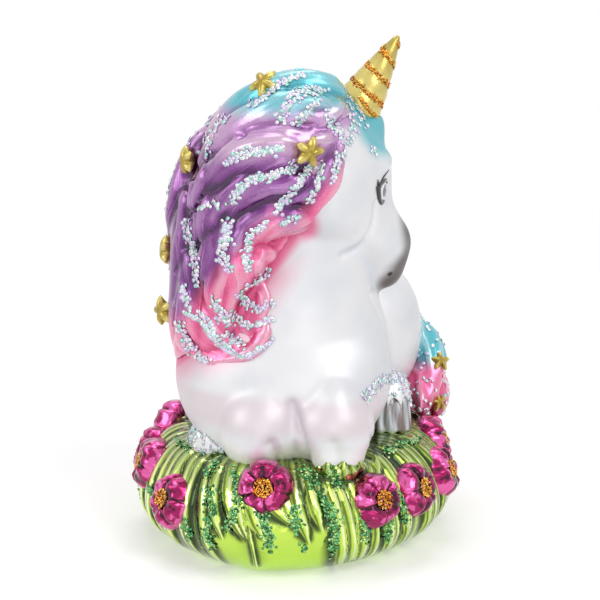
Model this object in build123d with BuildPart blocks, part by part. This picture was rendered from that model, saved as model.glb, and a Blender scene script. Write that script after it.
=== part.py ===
from build123d import *
import math
import os

os.makedirs("parts", exist_ok=True)

# Unicorn ornament of mould-blown glass, resting on an oval cushion of grass and flowers.
# Frame: +Z up, origin at the middle of the flat foot, X along the body with the chest
# towards -X and the rump towards +X, the face turned towards -Y. Sizes in millimetres.

# Grass cushion
base_length = 82.0
base_width = 68.5
base_height = 24.0

# Body
torso_length = 66.0
torso_width = 48.6
torso_depth = 42.0
torso_centre_x = 4.0
torso_centre_height = 38.0
haunch_length = 32.0
haunch_width = 26.0
haunch_depth = 35.0
haunch_spread = 12.0
haunch_x = 20.0
haunch_height = 41.0

# Neck
neck_length = 37.0
neck_width = 44.0
neck_foot_height = 44.0
neck_reach = 42.0
neck_x = -6.9

# Head
head_length = 35.0
head_width = 31.0
head_reach = 49.0
head_foot_height = 56.5
head_x = -6.0
head_y = -4.7
face_turn = -62.0
eye_diameter = 5.7
eye_thickness = 1.6
eye_level = 80.5
eye_turn = 31.0

# Horn
horn_length = 15.6
horn_base_diameter = 9.8
horn_turns = 4
horn_swell = 0.5
horn_sink = 3.0
horn_level = 99.5
horn_forward = 12.0
horn_lean = 31.0

# Mane
mane_x = -6.0
mane_length = 34.0
mane_width = 34.0
mane_reach = 72.0
mane_foot_height = 34.0
lock_width = 9.0
lock_depth = 6.0
lock_proud = 0.6
forelock_length = 9.0
forelock_width = 11.0
forelock_depth = 15.0
forelock_forward = 12.5
forelock_level = 92.5

# Tail
tail_lock_width = 9.5
tail_lock_depth = 7.5
tail_turn = -62.0

# Legs, hooves and feathers
foreleg_width = 14.5
foreleg_length = 17.0
foreleg_depth = 26.0
foreleg_x = -23.5
foreleg_level = 30.0
foreleg_left_y = -14.5
foreleg_right_y = 1.0
hoof_width = 10.5
hoof_length = 12.5
hoof_depth = 13.0
hoof_x = 2.0
hoof_y = 21.5
hoof_level = 26.0
hoof_taper = 6.0
hoof_edge_radius = 3.0
feather_width = 13.0
feather_height = 9.0
feather_x = 3.0
feather_y = 22.0
feather_level = 32.0
feather_depth = 8.0
fore_feather_x = -21.0
fore_feather_y = 14.5
fore_feather_level = 26.0
flute_count = 8

# Flowers, stars and blades
flower_diameter = 12.4
flower_lift = 0.3
flower_depth = 5.4
petal_count = 5
petal_radius = 3.5
heart_diameter = 3.8
heart_height = 1.8
heart_sink = 0.3
dome_round_share = 0.75
star_diameter = 7.4
star_thickness = 2.4
star_arm_count = 5
star_arm_width = 2.7
star_edge_radius = 0.5
blade_count = 44
blade_width = 2.7
blade_depth = 1.9
blade_lean = 15.0
blade_foot_share = 0.1
blade_span_share = 0.83

# Outlines as shares of the sizes above, chosen by hand
mound_shares = [(0.0, 0.79, 0.78), (0.10, 0.90, 0.90), (0.36, 1.0, 1.0),
                (0.66, 0.98, 0.965), (0.88, 0.88, 0.85), (1.0, 0.76, 0.70)]
torso_shares = [(0.0, 0.14, 0.14, -0.10), (0.008, 0.32, 0.28, -0.09), (0.03, 0.54, 0.50, -0.08),
                (0.12, 0.86, 0.80, -0.03), (0.27, 1.0, 1.0, 0.04), (0.50, 0.85, 0.96, 0.02),
                (0.72, 0.84, 0.93, 0.0), (0.90, 0.70, 0.76, -0.05),
                (0.97, 0.46, 0.52, -0.08), (1.0, 0.26, 0.28, -0.10)]
neck_shares = [(0.0, 0.0, 0.0, 1.0, 1.0), (0.18, 0.0, -0.03, 0.94, 0.92),
               (0.38, 0.0, -0.06, 0.84, 0.74), (0.62, 0.03, -0.07, 0.74, 0.66),
               (1.0, 0.05, -0.07, 0.64, 0.56)]
head_shares = [(0.0, 0.45, 0.13, 0.15), (0.04, 0.46, 0.27, 0.30), (0.11, 0.43, 0.40, 0.44),
               (0.20, 0.36, 0.60, 0.62), (0.31, 0.21, 0.80, 0.80), (0.43, 0.08, 0.90, 0.93),
               (0.58, 0.02, 1.0, 1.0), (0.75, -0.03, 0.88, 0.92), (0.88, -0.05, 0.66, 0.72),
               (0.96, -0.06, 0.38, 0.42), (1.0, -0.06, 0.16, 0.18)]
mane_shares = [(0.0, -0.06, 0.45, 0.24, 0.22), (0.05, -0.06, 0.44, 0.44, 0.42),
               (0.12, -0.06, 0.40, 0.64, 0.60), (0.24, -0.05, 0.32, 0.80, 0.76),
               (0.38, -0.02, 0.24, 0.90, 0.88), (0.52, 0.0, 0.19, 0.97, 0.97),
               (0.66, 0.0, 0.13, 1.0, 1.0), (0.79, 0.0, 0.04, 0.96, 0.92),
               (0.90, 0.0, -0.05, 0.72, 0.70), (0.96, 0.0, -0.10, 0.42, 0.40),
               (0.98, 0.0, -0.12, 0.18, 0.16)]
horn_shares = [(0.0, 1.0), (0.2, 0.98), (0.45, 0.80), (0.7, 0.54), (0.88, 0.30), (1.0, 0.10)]
lock_shares = [(0.0, 0.22), (0.06, 0.55), (0.22, 0.90), (0.45, 1.0), (0.70, 0.86),
               (0.90, 0.52), (1.0, 0.20)]
feather_shares = [(-0.5, 0.94, 0.84, 0.20), (-0.3, 1.0, 0.98, 0.18), (0.0, 0.92, 1.0, 0.14),
                  (0.25, 0.72, 0.80, 0.10), (0.42, 0.44, 0.50, 0.05), (0.5, 0.22, 0.26, 0.0)]
blade_shares = [(0.0, 0.25), (0.3, 1.0), (0.7, 0.85), (1.0, 0.25)]
egg_shares = [0.012, 0.08, 0.22, 0.5, 0.78, 0.92, 0.988]

# Routes of the locks: turns about the mane in degrees and heights as shares of its reach
mane_route_shares = {
    "mane_lock_crown": [(262, 0.92), (215, 0.955), (150, 0.935), (112, 0.86), (98, 0.76)],
    "mane_lock_brow": [(258, 0.86), (228, 0.90), (180, 0.90), (140, 0.83), (116, 0.72)],
    "mane_lock_temple": [(252, 0.76), (222, 0.80), (180, 0.79), (148, 0.71), (124, 0.60)],
    "mane_lock_cheek": [(244, 0.66), (216, 0.70), (182, 0.68), (154, 0.59), (134, 0.47)],
    "mane_lock_jaw": [(232, 0.56), (206, 0.59), (178, 0.55), (160, 0.45), (148, 0.33)],
    "mane_lock_throat": [(208, 0.47), (188, 0.47), (172, 0.38), (174, 0.26), (158, 0.13)],
    "mane_lock_crest": [(96, 0.80), (90, 0.66), (97, 0.50), (90, 0.34), (96, 0.18)],
    "mane_lock_shoulder": [(118, 0.62), (113, 0.48), (120, 0.34), (112, 0.22), (118, 0.09)],
    "mane_lock_breast": [(146, 0.46), (136, 0.36), (146, 0.26), (136, 0.15), (141, 0.04)],
    "mane_lock_nape": [(72, 0.90), (66, 0.76), (60, 0.62), (66, 0.46), (60, 0.30)],
    "mane_lock_withers": [(46, 0.92), (38, 0.76), (30, 0.60), (36, 0.46), (32, 0.34)],
    "mane_lock_far_side": [(10, 0.90), (4, 0.75), (-2, 0.62), (6, 0.50), (2, 0.40)],
    "mane_lock_far_cheek": [(-30, 0.86), (-24, 0.74), (-30, 0.62), (-22, 0.50), (-26, 0.42)],
}
# Tail locks: places as shares of the torso's length, width and depth from its centre
tail_route_shares = {
    "tail_lock_upper": [(0.38, -0.32, 0.10), (0.38, -0.46, 0.0), (0.31, -0.55, -0.13),
                        (0.22, -0.58, -0.26)],
    "tail_lock_middle": [(0.38, -0.36, -0.10), (0.33, -0.48, -0.18), (0.25, -0.53, -0.26),
                         (0.15, -0.54, -0.34)],
    "tail_lock_lower": [(0.42, -0.34, -0.22), (0.39, -0.50, -0.26), (0.31, -0.58, -0.32),
                        (0.23, -0.59, -0.38)],
}
# Stars: turn about the mane in degrees, height share, spin in degrees, lift as a share of a lock
star_shares = [(209, 0.805, 10, 0.62), (150, 0.955, 30, 0.5), (101, 0.715, 20, 0.3),
               (97, 0.43, 0, 0.55), (98, 0.24, 40, 0.5), (38, 0.80, 25, 0.55),
               (4, 0.58, 5, 0.55)]
# Flowers: turn about the cushion in degrees and height share
flower_shares = [(183, 0.85), (146, 0.58), (117, 0.70), (99, 0.69), (85, 0.85), (62, 0.62),
                 (38, 0.72), (14, 0.60), (-12, 0.72), (-34, 0.62), (-54, 0.66), (-71, 0.77),
                 (-89, 0.60), (-116, 0.64), (-137, 0.66)]


def between(table, share, column):
    """Value of one column of a table of shares at a place between its rows."""
    for low, high in zip(table, table[1:]):
        if share <= high[0]:
            step = (share - low[0]) / (high[0] - low[0])
            return low[column] + step * (high[column] - low[column])
    return table[-1][column]


def half_egg(share):
    """Girth along a blunt form, as a share of its middle."""
    return math.sqrt(max(0.0, 1.0 - (2.0 * share - 1.0) ** 2))


def oval(plane, width, depth, turn=0.0):
    """One oval station on a plane; its width lies along the plane's own X axis."""
    with BuildSketch(plane) as station:
        Ellipse(width / 2, depth / 2, rotation=turn)
    return station.sketch.face()


def fluted(plane, width, depth, ripple):
    """One fluted station, an oval whose edge waves in and out by a share."""
    points = []
    for number in range(2 * flute_count):
        swing = math.pi * number / flute_count
        reach = 1.0 - ripple * (number % 2)
        points.append((width / 2 * reach * math.cos(swing), depth / 2 * reach * math.sin(swing)))
    with BuildSketch(plane) as station:
        with BuildLine():
            Spline(*points, periodic=True)
        make_face()
    return station.sketch.face()


def egg_stations(centre, length, width, depth, turn=0.0, pitch=0.0):
    """Stations of an egg of the given three sizes, laid along its own turned X axis."""
    frame = Plane(centre).rotated((0, pitch, turn))
    stations = []
    for share in egg_shares:
        place = frame.from_local_coords(Vector((share - 0.5) * length, 0, 0))
        station_plane = Plane(place, x_dir=frame.y_dir, z_dir=frame.x_dir)
        stations.append(oval(station_plane, width * half_egg(share), depth * half_egg(share)))
    return stations


def lock_stations(route, width, depth, core, girth_shares):
    """Stations of a tapering lock along a smooth route, its width across the hair."""
    with BuildLine() as spine:
        Spline(*route)
    stations = []
    for share, girth in girth_shares:
        place = spine.line @ share
        along = spine.line % share
        across = along.cross(place - core(place))
        stations.append(oval(Plane(place, x_dir=across, z_dir=along), width * girth,
                             depth * girth))
    return stations


forms = {}


def keep_form(name, builder):
    """Remember the whole form of a piece and its box, for the pieces that it carries."""
    solid = builder.part.solid()
    forms[name] = (solid, solid.bounding_box())


def seat_on(builder, carriers):
    """Cut a piece where it meets the forms that carry it, so that their faces touch."""
    box = builder.part.bounding_box()
    for carrier in carriers:
        form, other = forms[carrier]
        apart = (box.min.X > other.max.X or box.max.X < other.min.X
                 or box.min.Y > other.max.Y or box.max.Y < other.min.Y
                 or box.min.Z > other.max.Z or box.max.Z < other.min.Z)
        if not apart:
            add(form, mode=Mode.SUBTRACT)


def main_solid(builder):
    """The main solid of a piece, without the crumbs that a cut can leave."""
    return builder.part.solids().sort_by(SortBy.VOLUME)[-1]


def write(solid, name):
    """Label a finished piece and write it to its own file."""
    solid.label = name
    export_step(solid, f"parts/{name}.step")


def write_pair(left_solid, name):
    """Write a piece of the left flank and its mirror image on the right."""
    write(left_solid, f"{name}_left")
    write(left_solid.mirror(Plane.XZ), f"{name}_right")


# Grass cushion: two bowed sides that meet in the mould seam at each end
with BuildPart() as grass_base:
    for rise, long_share, wide_share in mound_shares:
        tip = base_length / 2 * long_share
        side = base_width / 2 * wide_share
        with BuildSketch(Plane.XY.offset(base_height * rise)):
            with BuildLine():
                ThreePointArc((-tip, 0), (0, side), (tip, 0))
                ThreePointArc((tip, 0), (0, -side), (-tip, 0))
            make_face()
    loft()
keep_form("grass_base", grass_base)
write(grass_base.part, "grass_base")

# Torso, lying along the cushion
with BuildPart() as torso:
    for along, wide, deep, lift in torso_shares:
        station_x = torso_centre_x + torso_length * (along - 0.5)
        with BuildSketch(Plane.YZ.offset(station_x)):
            with Locations((0, torso_centre_height + torso_depth * lift)):
                Ellipse(torso_width / 2 * wide, torso_depth / 2 * deep)
    loft()
    keep_form("torso", torso)
    seat_on(torso, ["grass_base"])
write(torso.part, "torso")

# Haunches
with BuildPart() as haunch:
    loft(egg_stations((haunch_x, -haunch_spread, haunch_height), haunch_length,
                      haunch_width, haunch_depth))
    keep_form("haunch_left", haunch)
    seat_on(haunch, ["torso", "grass_base"])
write_pair(main_solid(haunch), "haunch")

# Neck, standing on the shoulders
with BuildPart() as neck:
    for rise, shift_x, shift_y, long_share, wide_share in neck_shares:
        with BuildSketch(Plane.XY.offset(neck_foot_height + neck_reach * rise)):
            with Locations((neck_x + neck_length * shift_x, neck_width * shift_y)):
                Ellipse(neck_length / 2 * long_share, neck_width / 2 * wide_share)
    loft()
    keep_form("neck", neck)
    seat_on(neck, ["torso"])
write(main_solid(neck), "neck")

# Head, muzzle down, turned over the left shoulder
facing = Vector(1, 0, 0).rotate(Axis.Z, face_turn)
head_axis = Vector(head_x, head_y, 0)
with BuildPart() as head:
    for rise, forward, long_share, wide_share in head_shares:
        with BuildSketch(Plane.XY.offset(head_foot_height + head_reach * rise)):
            with Locations(head_axis + facing * (head_length * forward)):
                Ellipse(head_length / 2 * long_share, head_width / 2 * wide_share,
                        rotation=face_turn)
    loft()
    keep_form("head", head)
    seat_on(head, ["neck", "torso"])
write(main_solid(head), "head")

# Horn: ovals that wander round a leaning axis, so that it winds like a drill
horn_root = head_axis + facing * horn_forward + Vector(0, 0, horn_level)
horn_up = Vector(0, 0, 1) * math.cos(math.radians(horn_lean))
horn_axis = horn_up + facing * math.sin(math.radians(horn_lean))
horn_station_count = horn_turns * 6
with BuildPart() as horn:
    for station in range(horn_station_count + 1):
        rise = station / horn_station_count
        girth = between(horn_shares, rise, 1)
        height = (horn_length + horn_sink) * rise - horn_sink
        level = Plane(horn_root + horn_axis * height, z_dir=horn_axis)
        wander = math.radians(360 * horn_turns * rise)
        with BuildSketch(level):
            with Locations((horn_swell * girth * math.cos(wander),
                            horn_swell * girth * math.sin(wander))):
                Circle(horn_base_diameter / 2 * girth)
    loft()
    keep_form("horn", horn)
    seat_on(horn, ["head"])
write(main_solid(horn), "horn")

# Forelock, the tuft that falls between the horn and the brow
with BuildPart() as forelock:
    forelock_centre = head_axis + facing * forelock_forward + Vector(0, 0, forelock_level)
    loft(egg_stations(forelock_centre, forelock_length, forelock_width, forelock_depth,
                      face_turn))
    keep_form("forelock", forelock)
    seat_on(forelock, ["head", "horn"])
write(main_solid(forelock), "forelock")

# Eyes, low domes on both sides of the face
with BuildPart() as eye_dome:
    with BuildSketch(Plane.XZ):
        with BuildLine():
            crown = eye_thickness / 2
            rim = eye_diameter / 2
            ThreePointArc((0, crown), (rim * dome_round_share, crown * dome_round_share), (rim, 0))
            Polyline((rim, 0), (0, -crown), (0, crown))
        make_face()
    revolve(axis=Axis.Z)
eye_form = eye_dome.part.solid()
eye_rise = (eye_level - head_foot_height) / head_reach
eye_forward = head_length * between(head_shares, eye_rise, 1)
eye_half_length = head_length / 2 * between(head_shares, eye_rise, 2)
eye_half_width = head_width / 2 * between(head_shares, eye_rise, 3)
for side_name, side in (("right", -1), ("left", 1)):
    swing = math.radians(side * eye_turn)
    local_x = eye_forward + eye_half_length * math.cos(swing)
    local_y = eye_half_width * math.sin(swing)
    centre = head_axis + Vector(local_x, local_y, eye_level).rotate(Axis.Z, face_turn)
    outward = Vector(1, 0, 0).rotate(Axis.Z, face_turn + side * eye_turn)
    with BuildPart() as eye:
        add(eye_form.moved(Plane(centre, z_dir=outward).location))
        keep_form(f"eye_{side_name}", eye)
        seat_on(eye, ["head"])
    write(main_solid(eye), f"eye_{side_name}")

# Mane: the bulk of the hair, falling from the poll down the near side of the neck
with BuildPart() as mane_bulk:
    for rise, shift_x, shift_y, long_share, wide_share in mane_shares:
        with BuildSketch(Plane.XY.offset(mane_foot_height + mane_reach * rise)):
            with Locations((mane_x + mane_length * shift_x, mane_width * shift_y)):
                Ellipse(mane_length / 2 * long_share, mane_width / 2 * wide_share)
    loft()
    keep_form("mane_bulk", mane_bulk)
    seat_on(mane_bulk, ["head", "neck", "torso", "forelock", "horn"])
write(main_solid(mane_bulk), "mane_bulk")


def mane_axis(place):
    """The point on the mane's own axis at the height of a place."""
    rise = (place.Z - mane_foot_height) / mane_reach
    return Vector(mane_x + mane_length * between(mane_shares, rise, 1),
                  mane_width * between(mane_shares, rise, 2), place.Z)


def on_mane(turn, rise, proud):
    """A point on the mane at a turn and a height share, lifted off it by a small length."""
    centre = mane_axis(Vector(0, 0, mane_foot_height + mane_reach * rise))
    swing = math.radians(turn)
    reach_x = mane_length / 2 * between(mane_shares, rise, 3) + proud
    reach_y = mane_width / 2 * between(mane_shares, rise, 4) + proud
    return centre + Vector(reach_x * math.cos(swing), reach_y * math.sin(swing), 0)


def beside_tail(place):
    """A point on the inner side of the tail, square to the way that it hangs."""
    return place - Vector(1, 0, 0).rotate(Axis.Z, tail_turn)


# Locks of the mane, each tapering and curving like a flame, laid over the bulk
carriers = ["mane_bulk", "head", "neck", "torso", "forelock", "horn", "eye_left"]
for lock_name, route in mane_route_shares.items():
    with BuildPart() as lock:
        points = [on_mane(turn, rise, lock_proud) for turn, rise in route]
        loft(lock_stations(points, lock_width, lock_depth, mane_axis, lock_shares))
        keep_form(lock_name, lock)
        seat_on(lock, carriers)
    carriers.append(lock_name)
    write(main_solid(lock), lock_name)

# Tail, three locks that hang from the rump and lie beside the left haunch
carriers = ["torso", "grass_base", "haunch_left"]
for lock_name, route in tail_route_shares.items():
    points = [Vector(torso_centre_x + torso_length * along, torso_width * across,
                     torso_centre_height + torso_depth * lift) for along, across, lift in route]
    with BuildPart() as lock:
        loft(lock_stations(points, tail_lock_width, tail_lock_depth, beside_tail, lock_shares))
        keep_form(lock_name, lock)
        seat_on(lock, carriers)
    carriers.append(lock_name)
    write(main_solid(lock), lock_name)

# Forelegs, folded under the chest
for side_name, foreleg_y in (("right", foreleg_right_y), ("left", foreleg_left_y)):
    with BuildPart() as foreleg:
        loft(egg_stations((foreleg_x, foreleg_y, foreleg_level), foreleg_length,
                          foreleg_width, foreleg_depth))
        keep_form(f"foreleg_{side_name}", foreleg)
        seat_on(foreleg, carriers)
    carriers.append(f"foreleg_{side_name}")
    write(main_solid(foreleg), f"foreleg_{side_name}")

# Hind hooves, tucked against the flanks
with BuildPart() as hoof:
    with BuildSketch(Plane((hoof_x, -hoof_y, hoof_level - hoof_depth / 2))):
        Ellipse(hoof_length / 2, hoof_width / 2)
    extrude(amount=hoof_depth, taper=hoof_taper)
    fillet(hoof.edges().group_by(Axis.Z)[-1], radius=hoof_edge_radius)
    keep_form("hind_hoof_left", hoof)
    seat_on(hoof, carriers)
write_pair(main_solid(hoof), "hind_hoof")
carriers.append("hind_hoof_left")

# Feathers, the fluted tufts of hair above the hooves
feather_places = {
    "feather_hind": (feather_x, -feather_y, feather_level, -90),
    "feather_fore": (fore_feather_x, fore_feather_y, fore_feather_level, 135),
}
for feather_name, (place_x, place_y, level, turn) in feather_places.items():
    sideways = Vector(0, 1, 0).rotate(Axis.Z, turn)
    with BuildPart() as feather:
        stations = []
        for rise, long_share, wide_share, ripple in feather_shares:
            place = Vector(place_x, place_y, level + feather_height * rise)
            stations.append(fluted(Plane(place, x_dir=sideways, z_dir=Vector(0, 0, 1)),
                                   feather_width * long_share, feather_depth * wide_share,
                                   ripple))
        loft(stations)
        keep_form(feather_name, feather)
        seat_on(feather, carriers)
    carriers.append(feather_name)
    if feather_name == "feather_hind":
        write_pair(main_solid(feather), feather_name)
    else:
        write(main_solid(feather), f"{feather_name}_right")


def mound_reach(turn, rise):
    """Distance from the cushion's upright axis to its side at a turn and a height share."""
    tip = base_length / 2 * between(mound_shares, rise, 1)
    side = base_width / 2 * between(mound_shares, rise, 2)
    bow = (tip * tip + side * side) / (2 * side)
    swing = math.radians(turn)
    offset = bow - side
    inner = math.sqrt(bow * bow - (offset * math.cos(swing)) ** 2)
    return inner - offset * abs(math.sin(swing))


def on_mound(turn, rise):
    """A point on the side of the cushion."""
    reach = mound_reach(turn, rise)
    swing = math.radians(turn)
    return Vector(reach * math.cos(swing), reach * math.sin(swing), base_height * rise)


def mound_axis(place):
    """The point on the cushion's upright axis at the height of a place."""
    return Vector(0, 0, place.Z)


# One blossom: five petals in a scalloped ring under a ball-shaped dome, made once
dome_radius = (flower_diameter * flower_diameter / 4 + flower_depth * flower_depth / 4) / flower_depth
with BuildPart() as blossom:
    petal_ring = flower_diameter / 2 - petal_radius
    with BuildSketch(Plane.XY.offset(-flower_depth / 2)):
        with PolarLocations(petal_ring, petal_count):
            Circle(petal_radius)
        Circle(petal_ring)
    extrude(amount=2 * flower_depth)
    with Locations((0, 0, flower_depth / 2 - dome_radius)):
        Sphere(dome_radius, rotation=(90, 0, 0), mode=Mode.INTERSECT)
blossom_solid = blossom.part.solid()

# One heart, a small dome of pollen
with BuildPart() as heart_dome:
    with BuildSketch(Plane.XZ):
        with BuildLine():
            crown = heart_height / 2
            rim = heart_diameter / 2
            ThreePointArc((0, crown), (rim * dome_round_share, crown * dome_round_share), (rim, 0))
            Polyline((rim, 0), (0, -crown), (0, crown))
        make_face()
    revolve(axis=Axis.Z)
heart_form = heart_dome.part.solid()

# Flowers round the cushion, each with a heart
hearts = []
slope_share = 0.05
for number, (turn, rise) in enumerate(flower_shares, start=1):
    seat = on_mound(turn, rise)
    lower = mound_reach(turn, rise - slope_share)
    upper = mound_reach(turn, rise + slope_share)
    level_way = Vector(1, 0, 0).rotate(Axis.Z, turn)
    outward = level_way + Vector(0, 0, 1) * ((lower - upper) / (2 * slope_share * base_height))
    face = Plane(seat + outward.normalized() * flower_lift, z_dir=outward)
    with BuildPart() as flower:
        add(blossom_solid.moved(face.location))
        keep_form(f"flower_{number:02d}", flower)
        seat_on(flower, carriers)
    carriers.append(f"flower_{number:02d}")
    write(main_solid(flower), f"flower_{number:02d}")
    heart_seat = face.offset(flower_depth / 2 - heart_sink)
    with BuildPart() as heart:
        add(heart_form.moved(heart_seat.location))
        seat_on(heart, [carriers[-1]])
    hearts.append(main_solid(heart))
write(Compound(children=hearts), "flower_hearts")

# Grass blades, leaning ribs that run up the side of the cushion between the flowers
blades = []
for number in range(blade_count):
    turn = 360 * number / blade_count
    points = [on_mound(turn + blade_lean * step, blade_foot_share + blade_span_share * step)
              for step in (0.0, 0.35, 0.7, 1.0)]
    with BuildPart() as blade:
        loft(lock_stations(points, blade_width, blade_depth, mound_axis, blade_shares))
        seat_on(blade, carriers)
    blades.append(main_solid(blade))
write(Compound(children=blades), "grass_blades")

# One star with round arms, made once
with BuildPart() as star_form:
    with BuildSketch(Plane.XY.offset(-star_thickness / 2)):
        with PolarLocations(star_diameter / 4, star_arm_count):
            Ellipse(star_diameter / 4, star_arm_width / 2)
        Circle(star_diameter / 4)
    extrude(amount=star_thickness)
    fillet(star_form.edges().group_by(Axis.Z)[-1], radius=star_edge_radius)

# Stars scattered on the mane
stars = []
for turn, rise, spin, lift in star_shares:
    place = on_mane(turn, rise, lock_proud + lock_depth * lift)
    face = Plane(place, z_dir=place - mane_axis(place)).rotated((0, 0, spin))
    with BuildPart() as star:
        add(star_form.part.solid().moved(face.location))
        seat_on(star, ["mane_bulk"] + list(mane_route_shares))
    stars.append(main_solid(star))
write(Compound(children=stars), "stars")
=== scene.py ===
import math
import random

import bmesh
import bpy
import numpy as np
from bpy.props import FloatProperty, FloatVectorProperty, IntProperty, PointerProperty
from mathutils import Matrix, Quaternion, Vector
from mathutils.bvhtree import BVHTree
from mathutils.kdtree import KDTree


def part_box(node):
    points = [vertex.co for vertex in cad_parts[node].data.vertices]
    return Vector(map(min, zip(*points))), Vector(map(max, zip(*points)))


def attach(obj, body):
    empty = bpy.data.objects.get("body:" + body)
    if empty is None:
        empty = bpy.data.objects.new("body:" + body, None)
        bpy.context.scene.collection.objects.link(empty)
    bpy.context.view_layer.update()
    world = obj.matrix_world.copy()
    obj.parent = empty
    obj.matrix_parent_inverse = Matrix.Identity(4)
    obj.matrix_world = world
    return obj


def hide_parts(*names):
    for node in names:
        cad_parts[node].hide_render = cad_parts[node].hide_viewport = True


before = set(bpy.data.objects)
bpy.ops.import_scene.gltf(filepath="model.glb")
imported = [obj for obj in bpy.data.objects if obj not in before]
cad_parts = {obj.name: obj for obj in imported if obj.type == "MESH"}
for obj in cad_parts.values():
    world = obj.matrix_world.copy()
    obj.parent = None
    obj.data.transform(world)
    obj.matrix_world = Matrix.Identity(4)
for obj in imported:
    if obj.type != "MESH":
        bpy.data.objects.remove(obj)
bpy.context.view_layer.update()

bl_info = {
    "name": "Unicorn ornament",
    "version": (1, 0, 0),
    "blender": (4, 5, 0),
    "location": "View3D > Sidebar > Ornament",
    "description": "Builds a blown glass unicorn that rests on a cushion of grass and flowers",
    "category": "Mesh",
}

MM = 0.001

# The photograph's view
view_aim = Vector((0.25, -1.1, 52.8)) * MM
view_place = Vector((-564.5, -131.5, 208.1)) * MM
view_lens = 160.5
view_sensor = 36.0
picture_size = 600

# Pieces of the frame that each glass form stands for
body_nodes = ["torso", "neck", "head", "forelock", "haunch_left", "haunch_right",
              "foreleg_left", "foreleg_right"]
mane_nodes = ["mane_bulk"] + sorted(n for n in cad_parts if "mane_lock" in n)
tail_nodes = sorted(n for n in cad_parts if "tail_lock" in n)
feather_nodes = sorted(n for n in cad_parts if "feather" in n)
flower_nodes = sorted(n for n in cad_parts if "flower_" in n and n != "flower_hearts")

# How the head stands and the horn leans on it
face_turn = math.radians(-62.0)
head_middle = (-6.0 * MM, -4.7 * MM)
horn_level = 99.5 * MM
horn_forward = 12.0 * MM
horn_lean = math.radians(31.0)
horn_sink = 3.0 * MM

# Radii of the horn in mm at shares of its length, its windings, and how far each swells
horn_shares = [0, 0.12, 0.3, 0.55, 0.8, 0.95, 1.0]
horn_radii = [5.0, 4.95, 4.3, 3.1, 1.75, 0.85, 0.3]
horn_turns = 4.2
horn_swell = 0.13

# Flutes round a hoof, and how far the flowers face upwards for each share that they face outwards
hoof_flutes = 11
flower_lift = 0.35

# Levels in mm over which one colour gives way to the next
# Painted light: below these levels the body is painted brighter white, whitening the forefeet
foot_light_levels = (26.0, 31.0)
# Where the pink reflection painted across the front of the chest starts, ends and reaches back to
reflection_start_levels = (29.5, 32.5)
reflection_end_levels = (37.0, 39.5)
reflection_front_levels = (-20.0, -8.0)
mist_low_levels = (62.0, 70.0)
mist_foot_levels = (34.0, 40.0)
mist_lilac_levels = (80.0, 92.0)
pink_end_levels = (73.0, 80.0)
lilac_start_levels = (89.0, 94.0)
teal_start_levels = (98.0, 102.0)
hem_end_levels = (37.0, 45.0)
tail_teal_levels = (32.0, 36.0)
tail_tip_levels = (23.5, 27.0)
grass_shade_levels = (17.5, 23.5)
floor_fade = (90.0, 320.0)

# How the mane's colours lean towards its far side, and how much lower the pink lies in front
pink_lean = 1.25
pink_bend = 8.0

# Strands of the mane on the side that the photograph shows, in its pixels, root to tip
strand_pixels = [
    [(347, 85), (330, 79), (310, 75), (290, 77), (270, 84), (252, 95), (238, 106)],
    [(350, 92), (330, 86), (305, 82), (285, 88), (262, 100), (243, 112), (230, 120)],
    [(345, 100), (325, 93), (300, 92), (280, 100), (258, 111), (240, 121), (222, 130)],
    [(338, 110), (322, 102), (300, 103), (275, 113), (255, 121), (236, 130), (218, 140)],
    [(322, 117), (300, 117), (275, 124), (250, 130), (232, 139), (216, 152)],
    [(304, 132), (282, 131), (258, 134), (238, 141), (222, 152), (208, 168)],
    [(298, 143), (278, 141), (258, 144), (238, 151), (222, 162), (206, 180)],
    [(299, 151), (280, 151), (260, 156), (243, 163), (228, 172), (212, 188)],
    [(300, 158), (282, 161), (264, 168), (250, 176), (236, 185), (222, 197), (208, 212)],
    [(299, 165), (281, 173), (263, 180), (248, 188), (234, 198), (220, 211), (210, 226)],
    [(312, 168), (302, 180), (286, 187), (268, 188), (250, 195), (236, 207), (226, 222)],
    [(321, 175), (313, 191), (299, 202), (281, 209), (262, 213), (245, 223), (233, 238)],
    [(330, 150), (331, 170), (326, 188), (316, 203), (300, 214), (282, 221), (264, 231), (250, 246)],
    [(338, 118), (340, 140), (339, 165), (334, 186), (325, 201), (312, 213), (295, 222), (277, 232),
     (263, 247), (258, 262)],
    [(206, 160), (200, 182), (194, 204), (192, 226), (188, 246), (187, 268), (190, 290)],
    [(212, 185), (206, 204), (203, 224), (205, 244), (199, 264), (196, 286), (201, 306)],
    [(222, 198), (215, 216), (213, 236), (215, 256), (209, 276), (206, 296), (213, 316)],
    [(233, 212), (226, 230), (223, 250), (226, 270), (220, 290), (217, 308), (226, 327)],
    [(244, 226), (236, 244), (234, 262), (238, 282), (232, 302), (229, 318), (238, 336)],
    [(254, 240), (246, 258), (245, 276), (250, 294), (245, 312), (243, 326), (252, 340)],
    [(264, 252), (258, 270), (258, 286), (264, 300), (262, 316), (257, 330), (262, 338)],
    [(196, 166), (189, 186), (185, 206), (183, 226), (180, 246), (181, 264)],
    [(181, 282), (182, 302), (180, 322), (182, 340), (192, 352), (208, 359), (226, 362)],
    [(191, 292), (191, 312), (194, 330), (206, 343), (222, 350), (240, 354)],
    [(203, 305), (206, 322), (215, 335), (230, 343), (246, 347), (258, 344)],
    [(268, 322), (264, 338), (252, 350), (236, 358), (218, 361)],
    [(345, 104), (334, 113), (322, 122), (310, 127), (296, 130)],
    [(343, 126), (334, 133), (322, 138), (310, 140)],
    [(329, 158), (327, 170), (320, 182), (309, 192)],
]
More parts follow.
